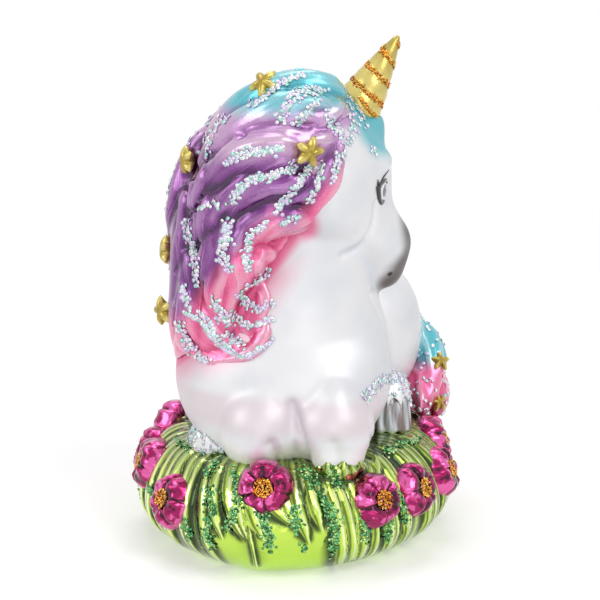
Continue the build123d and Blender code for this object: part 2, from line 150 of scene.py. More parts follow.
# Lines of white flakes in pixels: half width of the band, flakes for each pixel of its length
white_lines = [
    (5.0, 2.2, [(320, 92), (306, 91), (293, 97), (288, 107), (281, 121)]),
    (4.0, 1.8, [(316, 101), (309, 110), (300, 119), (294, 124)]),
    (4.5, 1.3, [(349, 88), (350, 100), (353, 114), (355, 128), (350, 141)]),
    (4.0, 1.9, [(328, 112), (331, 122), (338, 131), (345, 143)]),
    (3.6, 1.2, [(343, 151), (338, 160), (334, 171), (332, 182)]),
    (3.2, 2.4, [(281, 148), (268, 151), (255, 152), (243, 154), (235, 158), (227, 165)]),
    (3.4, 2.4, [(295, 164), (284, 170), (272, 176), (258, 178), (248, 182), (240, 190), (233, 201)]),
    (3.0, 1.7, [(322, 165), (319, 176), (316, 189), (308, 202)]),
    (3.2, 2.0, [(311, 164), (303, 177), (296, 188), (288, 197), (280, 205), (275, 212)]),
    (2.6, 1.2, [(299, 216), (290, 220), (281, 225)]),
    (3.4, 2.2, [(266, 223), (257, 231), (249, 239), (246, 248), (246, 259), (249, 271)]),
    (4.2, 1.9, [(232, 222), (225, 228), (227, 237), (223, 246), (222, 254), (226, 263), (231, 270)]),
    (4.0, 1.2, [(227, 117), (219, 122), (213, 131), (208, 142), (206, 154)]),
    (3.6, 0.8, [(222, 203), (210, 205), (199, 208)]),
    (3.0, 1.9, [(185, 220), (188, 232), (192, 244), (194, 256), (196, 270), (197, 285)]),
    (3.2, 2.0, [(267, 272), (258, 281), (248, 286)]),
    (3.6, 2.0, [(240, 294), (244, 302), (254, 307), (263, 307), (270, 303)]),
    (4.6, 2.6, [(214, 300), (219, 309), (222, 317), (226, 324)]),
    (3.0, 1.8, [(230, 314), (240, 321), (252, 325), (262, 324), (271, 318)]),
    (4.2, 2.4, [(226, 336), (233, 340), (241, 344)]),
    (1.6, 2.0, [(186, 313), (202, 322), (211, 336), (226, 350), (246, 356), (262, 348), (272, 340)]),
    (1.6, 1.6, [(197, 311), (210, 322), (216, 337), (231, 349)]),
    (4.0, 1.7, [(179, 322), (183, 335), (190, 347), (199, 356), (208, 362)]),
    (2.4, 1.6, [(182, 286), (186, 299), (190, 310)]),
    (2.6, 1.2, [(372, 146), (372, 154)]),
    (2.6, 0.9, [(357, 104), (362, 117), (365, 126)]),
    (2.4, 1.5, [(302, 74), (290, 79), (276, 88), (262, 99), (248, 106)]),
    (4.2, 3.4, [(364, 398), (373, 388), (385, 380), (400, 377), (412, 386)]),
]
# Orange-gold flakes round the root of the horn
horn_root_line = [(1.8, 7.0, [(360, 98), (367, 108), (377, 117)])]
# Small stars on the tail, in pixels
tail_star_pixels = [(440, 361), (438, 402)]
# Blades that stand before the forefeet, in pixels of their tips
standing_tips = [(290, 459), (297, 462), (304, 466), (311, 462), (319, 465), (327, 461), (335, 465),
                 (343, 460), (351, 464), (359, 460), (367, 463), (374, 458)]
# The mould's seam where it runs down the cushion, in pixels
seam_pixels = [(249, 526), (252, 545), (256, 565)]
seam_width = 1.1 * MM
# Share of the cushion's reach where its blades start, how far they lean in degrees, and the
# shares of the cushion's height where they end; short ones stand at some turns in degrees
blade_start = 0.56
blade_leans = (5, 12)
blade_ends = (0.02, 0.10)
short_turns = (156, 198)
short_ends = (0.42, 0.60)
# Lines of green flakes on the grass, in pixels
green_lines = [
    (4.0, 1.6, [(209, 486), (211, 500), (212, 512), (207, 528), (211, 547)]),
    (3.6, 1.6, [(232, 468), (237, 484), (236, 502), (233, 516), (228, 530)]),
    (4.2, 2.0, [(259, 506), (263, 520), (268, 534), (269, 549)]),
    (4.0, 1.9, [(293, 506), (296, 520), (299, 532)]),
    (2.6, 1.5, [(303, 545), (304, 550)]),
    (4.6, 1.5, [(302, 470), (309, 478), (317, 486)]),
    (4.2, 1.9, [(322, 496), (331, 512), (336, 528), (335, 541), (331, 552)]),
    (3.8, 1.4, [(330, 470), (336, 478), (340, 486)]),
    (3.8, 1.6, [(362, 514), (366, 526), (364, 540)]),
    (3.4, 1.4, [(387, 520), (389, 530), (386, 540)]),
    (3.4, 1.6, [(391, 486), (399, 498), (405, 511), (406, 522)]),
    (3.4, 1.2, [(219, 458), (214, 464), (205, 476)]),
    (3.0, 1.1, [(197, 443), (186, 447), (176, 438)]),
    (2.6, 1.2, [(185, 520), (188, 532), (190, 540)]),
    (2.6, 1.1, [(147, 486), (153, 496), (160, 506)]),
    (3.0, 1.3, [(385, 452), (396, 446), (408, 442), (420, 440)]),
    (2.6, 1.2, [(424, 470), (428, 482), (424, 496)]),
]
# Grooves that part the forms of the body, in pixels: depth and width in mm
body_creases = [
    (1.1, 2.6, [(292, 404), (296, 420), (301, 438), (306, 455), (308, 468)]),
    (1.1, 3.6, [(272, 446), (276, 456), (279, 466)]),
    (1.1, 3.6, [(334, 446), (337, 456), (339, 466)]),
    (0.8, 1.6, [(376, 205), (374, 222), (368, 237), (357, 248), (342, 254)]),
    (0.5, 1.6, [(374, 286), (370, 293), (373, 302), (381, 318)]),
    (1.0, 1.6, [(369, 398), (371, 420), (372, 440), (370, 456)]),
]
# Bulges that round the forms of the body: pixel, three radii in mm, how far each stands out
body_bulges = [
    ((338, 206), (9.5, 9.5, 13.0), 1.5),
    ((386, 162), (4.2, 4.2, 4.4), 1.7),
    ((266, 438), (9.4, 9.4, 10.0), 1.8),
    ((337, 432), (9.4, 9.4, 9.0), 0.5),
]

# Where lacquers are breathed on the head, in pixels: centre, solid and faded reach in mm
muzzle_breaths = [((408, 232), 0.8, 6.2), ((410, 250), 1.8, 7.4), ((403, 267), 2.0, 6.8),
                  ((388, 283), 0.8, 4.8)]
teal_breaths = [((374, 124), 5.0, 10.0), ((350, 96), 4.0, 10.0)]
nostril_breath = ((390, 274), 0.35, 0.9)

# Painted lines of an eye in shares of its half width and height, with the nose on the plus side,
# and how wide each line is as a share of a lash
lid_route = [(-1.26, 0.86), (-0.8, 0.9), (-0.3, 1.0), (0.3, 1.0), (0.95, 0.5)]
lower_route = [(-1.24, 0.84), (-1.12, 0.2), (-0.9, -0.5), (-0.62, -1.0), (0.1, -1.0)]
corner_lash = [(-1.2, 0.8), (-1.3, 1.1), (-1.26, 1.45)]
upper_lash = [(-0.86, 0.92), (-0.6, 1.4), (-0.1, 2.1)]
eye_strokes = [(lid_route, 2.0), (lower_route, 2.8), (corner_lash, 1.0), (upper_lash, 1.0)]

# The mane's upright middle, and the strands on the side that the photograph hides: their turns in
# degrees, the levels that they pass, and the levels where their lines of flakes start
mane_middle = (-0.006, 0.006)
hidden_turns = range(-38, 104, 9)
hidden_levels = (0.0985, 0.089, 0.078, 0.067, 0.057, 0.049)
hidden_flake_levels = (0.096, 0.083, 0.068, 0.056)

# Fine strands beside each strand of the mane: how far off and how far they curl, in pixels
fine_offsets = (-4.2, 4.6)
fine_curl = 1.6

# Numbers of flakes: on the horn, in a flower's heart, on a tuft or the tail, and rows on the grass
horn_flakes = 1500
heart_flakes = 150
tuft_flakes = 150
grass_rows = 26

# Linear shares of the flakes that shine in the hair, of the eye's paints and of plain white
hair_flake_tones = [(0.97, 0.97, 1.0), (0.72, 0.86, 0.95), (0.80, 0.64, 0.90), (0.46, 0.82, 0.70)]
eye_white = (0.94, 0.94, 0.97)
iris_light = (0.02, 0.07, 0.20)
eye_spark = (0.9, 0.9, 0.92)
white = (1.0, 1.0, 1.0, 1.0)


def paint(red, green, blue):
    """A colour as it looks on a screen, 0 to 255, as the linear shares that shaders take."""
    shares = [level / 255 for level in (red, green, blue)]
    return tuple(s / 12.92 if s <= 0.04045 else ((s + 0.055) / 1.055) ** 2.4 for s in shares)


def length(label, text, millimetres):
    """A length that a user may change."""
    return FloatProperty(name=label, description=text, default=millimetres * MM, unit="LENGTH",
                         precision=5)


def colour(label, text, red, green, blue):
    """A colour that a user may change."""
    return FloatVectorProperty(name=label, description=text, default=paint(red, green, blue),
                               subtype="COLOR", min=0.0, max=1.0)


class UnicornSizes(bpy.types.PropertyGroup):
    """Sizes of the fine forms."""

    body_voxel: length("Body grain", "Cell in which the forms of the body melt together", 0.55)
    hair_voxel: length("Hair grain", "Cell in which the strands melt together", 0.42)
    grass_voxel: length("Grass grain", "Cell in which the blades melt into the cushion", 0.42)
    strand_width: length("Strand width", "Width of a strand of the mane", 3.0)
    strand_sink: length("Strand sink", "How deep a strand's middle lies in the hair", 0.15)
    blade_width: length("Blade width", "Width of a blade of grass", 3.3)
    blade_count: IntProperty(name="Blades", description="Blades round the cushion", default=72)
    flake_size: length("White flake", "Width of a white flake across its corners", 0.98)
    green_flake: length("Green flake", "Width of a green flake across its corners", 0.72)
    gold_flake: length("Gold flake", "Width of an orange-gold flake across its corners", 0.5)
    petal_reach: length("Petal reach", "Distance from a flower's heart to a petal's edge", 6.3)
    heart_reach: length("Heart reach", "Distance from a flower's middle to the edge of its heart", 2.1)
    petal_height: length("Petal height", "Height of a petal's crest over its seat", 2.7)
    star_reach: length("Star reach", "Distance from a star's middle to an arm's end", 3.6)
    star_waist: FloatProperty(name="Star waist", description="Reach between two arms as a share",
                              default=0.56)
    star_height: length("Star height", "Height of a star's dome", 1.3)
    lash_width: length("Lash width", "Width of a painted lash at its root", 0.62)
    eye_half_width: length("Eye half width", "From an eye's middle to its corner", 3.0)
    eye_half_height: length("Eye half height", "From an eye's middle to its lid", 2.3)
    eye_shift: length("Eye shift", "How far an eye's paint lies from its seat, away from the nose", 1.5)
    eye_dome: length("Eye dome", "Height of an eye over the face", 0.55)
    socket_depth: length("Socket depth", "Depth of the hollow round an eye", 1.3)
    socket_width: length("Socket width", "Width of the hollow round an eye", 9.0)
    flute_depth: length("Flute depth", "Depth of the flutes of a hoof", 0.28)


class UnicornColours(bpy.types.PropertyGroup):
    """Colours of the lacquers and flakes, and of the painted highlights, shade and reflections."""

    pearl: colour("Pearl", "Satin lacquer of the body", 240, 240, 243)
    # Painted light: brighter white on the lower body and the forefeet
    pearl_bright: colour("Bright pearl", "White of the forefeet", 254, 254, 255)
    # A cool tone at random, and also painted shade in the hollows of the body
    pearl_cool: colour("Pearl shade", "Cool shade of the body", 206, 212, 220)
    # Painted pink reflection: a band across the chest, and painted highlights on the crests of the pink
    # and lilac hair and of the tail
    pink_reflection: colour("Blush", "Pink breath on the chest", 226, 205, 212)
    muzzle: colour("Muzzle", "Grey-brown of the muzzle", 64, 45, 40)
    teal: colour("Teal", "Top of the mane", 84, 190, 204)
    lilac: colour("Lilac", "Upper mane", 196, 148, 200)
    purple: colour("Purple", "Middle of the mane", 120, 38, 132)
    # Painted shade in the grooves of the mane
    purple_shade: colour("Deep purple", "Grooves of the mane", 52, 8, 62)
    pink: colour("Pink", "Lower mane", 238, 104, 158)
    # Painted shade in the grooves of the lower mane and of the tail
    pink_shade: colour("Deep pink", "Grooves of the lower mane", 184, 38, 92)
    lime: colour("Lime", "Grass on its ridges", 194, 228, 84)
    # Painted highlight along the blades
    lime_highlight: colour("Light lime", "Lines of light along the blades", 240, 250, 180)
    # Painted shade and painted reflections in the grooves and along the blades, and darker patches at
    # random
    lime_deep: colour("Deep green", "Grass in its grooves", 26, 50, 8)
    magenta: colour("Magenta", "Petals", 156, 4, 86)
    # Painted shade in the folds of the petals
    magenta_shade: colour("Deep magenta", "Folds of the petals", 44, 0, 28)
    # Painted highlight on the crests of the petals
    magenta_highlight: colour("Light magenta", "Crests of the petals", 244, 110, 184)
    gold: colour("Gold", "Horn and stars", 172, 150, 60)
    # Painted highlight on the crests of the horn and stars
    gold_highlight: colour("Light gold", "Crests of the horn and stars", 228, 212, 128)
    # Painted shade in the grooves of the horn and stars
    gold_shade: colour("Deep gold", "Grooves of the horn", 104, 84, 22)
    orange: colour("Orange gold", "Flakes of the horn and the flower hearts", 236, 150, 34)
    orange_light: colour("Light orange gold", "Brighter orange-gold flakes", 250, 190, 60)
    orange_deep: colour("Deep orange gold", "Darker orange-gold flakes", 170, 90, 16)
    orange_pale: colour("Pale orange gold", "Palest orange-gold flakes", 250, 222, 130)
    leaf: colour("Leaf", "Green flakes", 74, 170, 96)
    leaf_light: colour("Light leaf", "Brighter green flakes", 140, 216, 134)
    leaf_deep: colour("Deep leaf", "Darker green flakes", 34, 112, 52)
    leaf_pale: colour("Pale leaf", "Palest green flakes", 206, 240, 160)
    hoof: colour("Hoof", "Grey-brown of the hooves", 132, 114, 110)
    enamel: colour("Enamel", "Black of the lashes, the nostril and the eye's rim", 22, 20, 24)
    iris: colour("Iris", "Navy of the iris", 16, 40, 96)
    floor: colour("Floor", "Pale floor", 238, 238, 238)


class Value:
    """A number socket of a shader; an expression on values adds its Math nodes."""

    def __init__(self, finish, socket):
        self.finish = finish
        self.socket = socket

    def maths(self, operation, first, second):
        """A Math node on two values or numbers."""
        return self.finish.node("ShaderNodeMath", {"operation": operation}, {0: first, 1: second})

    def __add__(self, other):
        return self.maths("ADD", self, other)

    def __radd__(self, other):
        return self.maths("ADD", other, self)

    def __sub__(self, other):
        return self.maths("SUBTRACT", self, other)

    def __rsub__(self, other):
        return self.maths("SUBTRACT", other, self)

    def __mul__(self, other):
        return self.maths("MULTIPLY", self, other)

    def __rmul__(self, other):
        return self.maths("MULTIPLY", other, self)

    def __truediv__(self, other):
        return self.maths("DIVIDE", self, other)

    def __pow__(self, other):
        return self.maths("POWER", self, other)

    def __neg__(self):
        return self.maths("MULTIPLY", self, -1.0)

    def __abs__(self):
        return self.maths("ABSOLUTE", self, 0.0)

    def most(self, other):
        """The greater of two values."""
        return self.maths("MAXIMUM", self, other)


class Finish:
    """The nodes of a material or of the world, and the few calls that they are made with."""

    def __init__(self, owner):
        self.owner = owner
        owner.use_nodes = True
        self.tree = owner.node_tree
        self.tree.nodes.clear()

    def node(self, kind, settings=None, inputs=None, output=0):
        """One node: its settings first, then the values or links of its sockets."""
        made = self.tree.nodes.new(kind)
        for name, setting in (settings or {}).items():
            setattr(made, name, setting)
        for name, value in (inputs or {}).items():
            if isinstance(value, Value):
                self.tree.links.new(value.socket, made.inputs[name])
            else:
                made.inputs[name].default_value = value
        return Value(self, made.outputs[output]) if made.outputs else None

    def place(self):
        """X, Y and Z of the surface in millimetres."""
        spot = self.node("ShaderNodeTexCoord", output="Object")
        return [self.node("ShaderNodeSeparateXYZ", inputs={0: spot}, output=axis) / MM
                for axis in range(3)]

    def noise(self, scale, detail=3.0, roughness=0.55):
        """Noise with a scale in spots for each metre."""
        spot = self.node("ShaderNodeTexCoord", output="Object")
        return self.node("ShaderNodeTexNoise", inputs={
            "Vector": spot, "Scale": scale, "Detail": detail, "Roughness": roughness})

    def smooth(self, value, low, high):
        """0 below low, 1 above high and a soft step between."""
        return self.node("ShaderNodeMapRange", {"interpolation_type": "SMOOTHSTEP"},
                         {"Value": value, "From Min": low, "From Max": high})

    def mix(self, share, first, second):
        """A colour between two."""
        colours = [c if isinstance(c, Value) else (*c, 1.0) for c in (first, second)]
        return self.node("ShaderNodeMix", {"data_type": "RGBA"},
                         {0: share, 6: colours[0], 7: colours[1]}, output=2)

    def attribute(self, name):
        """A number stored on the mesh."""
        return self.node("ShaderNodeAttribute", {"attribute_name": name}, output="Fac")

    def bump(self, height, distance, strength=1.0):
        """A normal from a height of 0 to 1 and the distance that 1 stands for."""
        return self.node("ShaderNodeBump", inputs={
            "Height": height, "Distance": distance, "Strength": strength})

    def glass(self, base, metallic, roughness, coat=0.0, coat_roughness=0.05, normal=None):
        """Lacquer over silvered glass, as the finished surface."""
        inputs = {"Metallic": metallic, "Roughness": roughness, "Coat Weight": coat,
                  "Coat Roughness": coat_roughness}
        inputs["Base Color"] = base if isinstance(base, Value) else (*base, 1.0)
        if normal is not None:
            inputs["Normal"] = normal
        return self.shown(self.node("ShaderNodeBsdfPrincipled", inputs=inputs))

    def rays(self, kind):
        """1 for the rays of one kind."""
        return self.node("ShaderNodeLightPath", output=f"Is {kind} Ray")

    def light(self, strength, kind="ShaderNodeEmission"):
        """White light of a strength."""
        return self.node(kind, inputs={"Color": white, "Strength": strength})

    def between(self, share, first, second):
        """A surface between two, at a share of 0 to 1."""
        return self.node("ShaderNodeMixShader", inputs={0: share, 1: first, 2: second})

    def shown(self, shader, output="ShaderNodeOutputMaterial"):
        """The shader becomes what shows; gives the material or the world."""
        self.node(output, inputs={"Surface": shader})
        return self.owner


def new_finish(name):
    """A fresh material, ready for its nodes."""
    return Finish(bpy.data.materials.new(name))


def distance_to(finish, spot):
    """Distance in millimetres from a spot given in millimetres."""
    x, y, z = [(axis - middle) ** 2.0 for axis, middle in zip(finish.place(), spot)]
    return (x + y + z) ** 0.5


def breath(finish, tree, pixel, solid, faded):
    """1 round the place that shows at a pixel, fading to 0; reaches in millimetres."""
    spot = at_pixel(tree, pixel)[0] / MM
    return 1.0 - finish.smooth(distance_to(finish, spot), solid, faded)


def pearl_finish(colours, tree):
    """Satin pearl lacquer: white, cool in its shades, hair colours and a brown muzzle breathed on; a
    painted pink reflection across the chest, painted light that whitens the forefeet and painted shade in
    the hollows.
    """
    finish = new_finish("pearl_lacquer")
    x, _, z = finish.place()
    cloud = finish.noise(scale=45.0)
    base = finish.mix(finish.smooth(cloud, 0.42, 0.72) * 0.5, colours.pearl, colours.pearl_cool)
    # Painted light: the lower body and the forefeet turn brighter white
    foot = 1.0 - finish.smooth(z, *foot_light_levels)
    base = finish.mix(foot, base, colours.pearl_bright)
    # Painted shade in the hollows and creases of the body
    hollow = -finish.attribute("relief")
    base = finish.mix(finish.smooth(hollow, 0.05, 0.8) * 0.7, base, colours.pearl_cool)
    # Painted reflection: a pale pink band across the front of the chest
    band = finish.smooth(z, *reflection_start_levels) * (1.0 - finish.smooth(z, *reflection_end_levels))
    front = 1.0 - finish.smooth(x, *reflection_front_levels)
    base = finish.mix(band * front * 0.5, base, colours.pink_reflection)
    for spot in muzzle_breaths:
        base = finish.mix(breath(finish, tree, *spot) * 0.86, base, colours.muzzle)
    base = finish.mix(breath(finish, tree, *nostril_breath), base, colours.enamel)
    near = finish.attribute("near_hair") + (cloud - 0.5) * 2.0
    close = 1.0 - finish.smooth(near, 0.2, 3.2)
    low = (1.0 - finish.smooth(z, *mist_low_levels)) * finish.smooth(z, *mist_foot_levels)
    wide = (1.0 - finish.smooth(near, 0.0, 8.5)) * low * 0.6
    mist = finish.mix(finish.smooth(z, *mist_lilac_levels), colours.pink, colours.lilac)
    base = finish.mix((close * 0.9).most(wide), base, mist)
    for spot in teal_breaths:
        base = finish.mix(breath(finish, tree, *spot) * 0.9, base, colours.teal)
    grain = finish.noise(scale=1800.0, detail=1.0)
    return finish.glass(base, metallic=0.2, roughness=0.4 + grain * 0.06, coat=0.12,
                        coat_roughness=0.35)


def streaks(finish, fineness):
    """Fine lines that follow the strands, 0 to 1."""
    place = finish.attribute("across") * fineness + finish.attribute("strand") * 40.0
    return finish.node("ShaderNodeTexNoise", {"noise_dimensions": "1D"},
                       {"W": place, "Scale": 1.0, "Detail": 2.0})


def hair_finish(colours):
    """Airbrushed bands of lacquer: teal on top, lilac, purple, then pink, with painted highlights on the
    ridges and painted shade in the grooves.
    """
    finish = new_finish("hair_lacquer")
    x, y, z = finish.place()
    across = x * 0.225 - y * 0.974
    cloud = finish.noise(scale=70.0)
    level = finish.attribute("relief") + (streaks(finish, fineness=1.7) - 0.5) * 1.5
    bend = finish.smooth(-across, 0.0, 6.0) * pink_bend
    fall = z - across * pink_lean - bend + (cloud - 0.5) * 9.0
    crown = z - across * 0.05 + (cloud - 0.5) * 6.0
    # Painted highlight on the ridges of the strands, painted shade in their grooves
    ridge = finish.smooth(level, 0.05, 0.75)
    groove = finish.smooth(-level, -0.1, 0.42)

    def band(colour, crest, highlight_share, shade, shade_share):
        """One band of colour, with painted highlights on its crests and painted shade in its grooves."""
        tone = finish.mix(ridge * highlight_share, colour, crest)
        return finish.mix(groove * shade_share, tone, shade)

    purple = band(colours.purple, colours.lilac, 0.6, colours.purple_shade, 0.9)
    pink = band(colours.pink, colours.pink_reflection, 0.45, colours.pink_shade, 0.6)
    lilac = band(colours.lilac, colours.pink_reflection, 0.5, colours.purple, 0.6)
    teal = band(colours.teal, colours.pearl, 0.22, colours.iris, 0.35)
    base = finish.mix(finish.smooth(fall, *pink_end_levels), pink, purple)
    base = finish.mix(finish.smooth(crown, *lilac_start_levels), base, lilac)
    base = finish.mix(finish.smooth(crown, *teal_start_levels), base, teal)
    hem = finish.smooth(z + (cloud - 0.5) * 12.0, *hem_end_levels)
    base = finish.mix(hem, finish.mix(0.3, colours.pearl, colours.pink), base)
    grain = finish.noise(scale=1500.0, detail=1.0)
    return finish.glass(base, metallic=0.5, roughness=0.24 + grain * 0.08, coat=0.6,
                        coat_roughness=0.08)


def tail_finish(colours):
    """Teal at the root of the tail, pink in the middle and magenta at its tip, with painted highlights on
    the ridges and painted shade in the grooves.
    """
    finish = new_finish("tail_lacquer")
    relief = finish.attribute("relief")
    level = finish.place()[2] + (finish.noise(scale=120.0) - 0.5) * 6.0
    # Painted highlight on the ridges, painted shade in the grooves of the pink
    ridge = finish.smooth(relief, 0.0, 0.8) * 0.4
    teal = finish.mix(ridge, colours.teal, colours.pearl)
    pink = finish.mix(ridge, colours.pink, colours.pink_reflection)
    pink = finish.mix(finish.smooth(-relief, 0.1, 0.7) * 0.6, pink, colours.pink_shade)
    tip = finish.mix(ridge, colours.magenta, colours.pink)
    base = finish.mix(finish.smooth(level, *tail_teal_levels), pink, teal)
    base = finish.mix(1.0 - finish.smooth(level, *tail_tip_levels), base, tip)
    return finish.glass(base, metallic=0.5, roughness=0.22, coat=0.6, coat_roughness=0.06)


def grass_finish(colours):
    """Transparent lime lacquer, mirror bright; dark in the grooves, partly where it pooled and partly
    painted shade, with painted highlights and painted dark reflections along the blades.
    """
    finish = new_finish("grass_lacquer")
    across = finish.attribute("across")
    blade = finish.attribute("on_blade")
    cloud = finish.noise(scale=90.0)
    ripple = finish.noise(scale=260.0, detail=2.0)
    # Painted shade along the edges where blades meet, partly lacquer pooled there
    edge = finish.smooth(abs(across) + (ripple - 0.5) * 0.7, 0.55, 0.85)
    # Painted highlight along one side of each blade and a painted dark reflection along the other
    shine = abs(across + 0.35 + (ripple - 0.5) * 0.5)
    shade = abs(across - 0.3 + (cloud - 0.5) * 0.8)
    light = (1.0 - finish.smooth(shine, 0.08, 0.26)) * blade
    dark = (1.0 - finish.smooth(shade, 0.06, 0.3)) * blade
    patch = finish.smooth(cloud, 0.45, 0.62) * blade
    # Dark in the grooves: partly lacquer pooled there and partly painted shade
    deep = finish.smooth((cloud - 0.5) * 0.4 - finish.attribute("relief"), -0.2, 0.35)
    base = finish.mix(patch * 0.35, colours.lime, colours.lime_deep)
    base = finish.mix(dark * 0.75, base, colours.lime_deep)
    base = finish.mix(light * 0.95, base, colours.lime_highlight)
    base = finish.mix(deep * 0.9, base, colours.lime_deep)
    base = finish.mix(edge * blade * 0.92, base, colours.lime_deep)
    # Painted shade: darker towards the top of the cushion
    top = finish.smooth(finish.place()[2], *grass_shade_levels)
    base = finish.mix(top * 0.4, base, colours.lime_deep)
    return finish.glass(base, metallic=0.9, roughness=0.11, coat=0.5, coat_roughness=0.02,
                        normal=finish.bump(ripple, 0.35 * MM))


def petal_finish(colours):
    """Transparent magenta lacquer, mirror bright, with painted shade in the folds of the petals and
    painted highlights on their crests.
    """
    finish = new_finish("petal_lacquer")
    relief = finish.attribute("relief")
    cloud = finish.noise(scale=560.0, detail=2.0)
    wave = finish.noise(scale=230.0, detail=1.0)
    fold = (cloud - 0.5) * 2.8 + (wave - 0.5) * 2.8
    # Painted highlight on the crests of the folds and painted shade in the folds
    light = finish.smooth(fold + relief * 0.35, 0.2, 0.6)
    deep = finish.smooth(-(fold + relief * 0.8), -0.25, 0.15)
    base = finish.mix(light * 0.75, colours.magenta, colours.magenta_highlight)
    base = finish.mix(deep * 0.9, base, colours.magenta_shade)
    return finish.glass(base, metallic=0.9, roughness=0.11, coat=0.5, coat_roughness=0.02,
                        normal=finish.bump(wave, 0.6 * MM))


def gold_finish(colours):
    """Satin gold lacquer, with painted highlights on its crests and painted shade in its grooves."""
    finish = new_finish("gold_lacquer")
    level = finish.attribute("relief") + (finish.noise(scale=380.0) - 0.5) * 0.6
    # Painted highlight on the crests and painted shade in the grooves
    base = finish.mix(finish.smooth(level, 0.1, 0.7) * 0.7, colours.gold, colours.gold_highlight)
    base = finish.mix(finish.smooth(-level, -0.1, 0.4) * 0.9, base, colours.gold_shade)
    grain = finish.noise(scale=2400.0, detail=2.0)
    return finish.glass(base, metallic=0.72, roughness=0.27 + grain * 0.1, coat=0.3,
                        coat_roughness=0.12, normal=finish.bump(grain, 0.02 * MM))


def hoof_finish(colours):
    """Grey-brown breath over pearl, streaked from top to bottom, with painted shade in the flutes."""
    finish = new_finish("hoof_paint")
    x, y, z = finish.place()
    spot = finish.node("ShaderNodeCombineXYZ", inputs={0: x, 1: y, 2: z * 0.12})
    streak = finish.node("ShaderNodeTexNoise", inputs={"Vector": spot, "Scale": 0.55, "Detail": 3.0})
    base = finish.mix(finish.smooth(streak, 0.4, 0.62), colours.hoof, colours.pearl_cool)
    base = finish.mix(finish.smooth(streak, 0.62, 0.72), base, colours.pearl)
    # Painted shade in the flutes of the hoof
    hollow = -finish.attribute("relief")
    base = finish.mix(finish.smooth(hollow, 0.0, 0.7) * 0.6, base, colours.muzzle)
    return finish.glass(base, metallic=0.3, roughness=0.3, coat=0.35, coat_roughness=0.15)


def flake_finish(name, tones, metallic, roughness):
    """Die-cut flakes, each with its own tone between a few colours."""
    finish = new_finish(name)
    tone = finish.attribute("tone")
    base = finish.mix(finish.smooth(tone, 0.28, 0.34), tones[0], tones[1])
    base = finish.mix(finish.smooth(tone, 0.56, 0.62), base, tones[2])
    base = finish.mix(finish.smooth(tone, 0.82, 0.88), base, tones[3])
    return finish.glass(base, metallic, roughness, coat=0.5)


def gold_flake_finish(colours):
    """Orange-gold flakes: one finish for the horn and the flowers."""
    tones = [colours.orange, colours.orange_light, colours.orange_deep, colours.orange_pale]
    return (bpy.data.materials.get("gold_flakes")
            or flake_finish("gold_flakes", tones, metallic=0.8, roughness=0.16))


def eye_finish(colours):
    """Painted eye: white, a navy iris with a dark rim and pupil, and one white spark."""
    finish = new_finish("eye_paint")
    across = finish.attribute("eye_across")
    rise = finish.attribute("eye_rise")

    def within(across_middle, rise_middle, solid, faded):
        """1 inside a round spot of the eye."""
        reach = ((across - across_middle) ** 2.0 + (rise - rise_middle) ** 2.0) ** 0.5
        return 1.0 - finish.smooth(reach, solid, faded)

    iris = finish.mix(finish.smooth(rise, -0.5, 0.4), iris_light, colours.iris)
    base = finish.mix(within(0.12, -0.02, 0.60, 0.64), eye_white, colours.enamel)
    base = finish.mix(within(0.12, -0.02, 0.52, 0.56), base, iris)
    base = finish.mix(within(0.12, -0.02, 0.26, 0.30), base, colours.enamel)
    base = finish.mix(within(0.34, 0.26, 0.15, 0.18), base, eye_spark)
    base = finish.mix(1.0 - within(0.0, 0.0, 0.8, 0.85), base, colours.enamel)
    return finish.glass(base, metallic=0.0, roughness=0.3, coat=0.2, coat_roughness=0.1)


def plain_finish(name, base, metallic, roughness):
    """Brushed enamel with a faint cloud of its own colour."""
    finish = new_finish(name)
    cloud = finish.noise(scale=900.0, detail=2.0)
    soft = tuple(min(1.0, share * 1.5 + 0.01) for share in base)
    return finish.glass(finish.mix(cloud * 0.5, base, soft), metallic, roughness, coat=0.4,
                        coat_roughness=0.1)


def unit(rows):
    """Rows of vectors, each made one long."""
    return rows / np.maximum(np.linalg.norm(rows, axis=-1, keepdims=True), 1e-12)


def through(chosen, count):
    """A smooth line of so many points through a few chosen ones."""
    chosen = np.array(chosen, float)
    reach = np.concatenate(([0.0], np.cumsum(np.linalg.norm(np.diff(chosen, axis=0), axis=1))))
    places = np.linspace(0.0, reach[-1], count)
    slopes = np.gradient(chosen, reach, axis=0)
    low = np.clip(np.searchsorted(reach, places, side="right") - 1, 0, len(reach) - 2)
    span = (reach[low + 1] - reach[low])[:, None]
    share = (places - reach[low])[:, None] / span
    start, end = chosen[low], chosen[low + 1]
    ease = share * share * (3 - 2 * share)
    leave = share * (1 - share) ** 2
    arrive = share * share * (share - 1)
    return start + (end - start) * ease + (slopes[low] * leave + slopes[low + 1] * arrive) * span


def sleeve(rings, sides):
    """Faces of a closed form made of rings of points, with a cap on each end."""
    faces = []
    for low in range(0, (rings - 1) * sides, sides):
        high = low + sides
        faces += [(low + c, low + (c + 1) % sides, high + (c + 1) % sides, high + c)
                  for c in range(sides)]
    faces.append(tuple(range(sides))[::-1])
    faces.append(tuple(range((rings - 1) * sides, rings * sides)))
    return faces


def dome(rings, sides):
    """Faces of a closed form made of a middle point, rings round it and one ring for its back."""
    faces = [(0, 1 + c, 1 + (c + 1) % sides) for c in range(sides)]
    for low in range(1, 1 + rings * sides, sides):
        high = low + sides
        faces += [(low + c, high + c, high + (c + 1) % sides, low + (c + 1) % sides)
                  for c in range(sides)]
    faces.append(tuple(range(1 + rings * sides, 1 + (rings + 1) * sides))[::-1])
    return faces


def dome_places(rings, corners):
    """Each point of a dome's rings: its share of the reach and the number of its corner."""
    return [(ring / rings, corner) for ring in range(1, rings + 1) for corner in range(corners)]


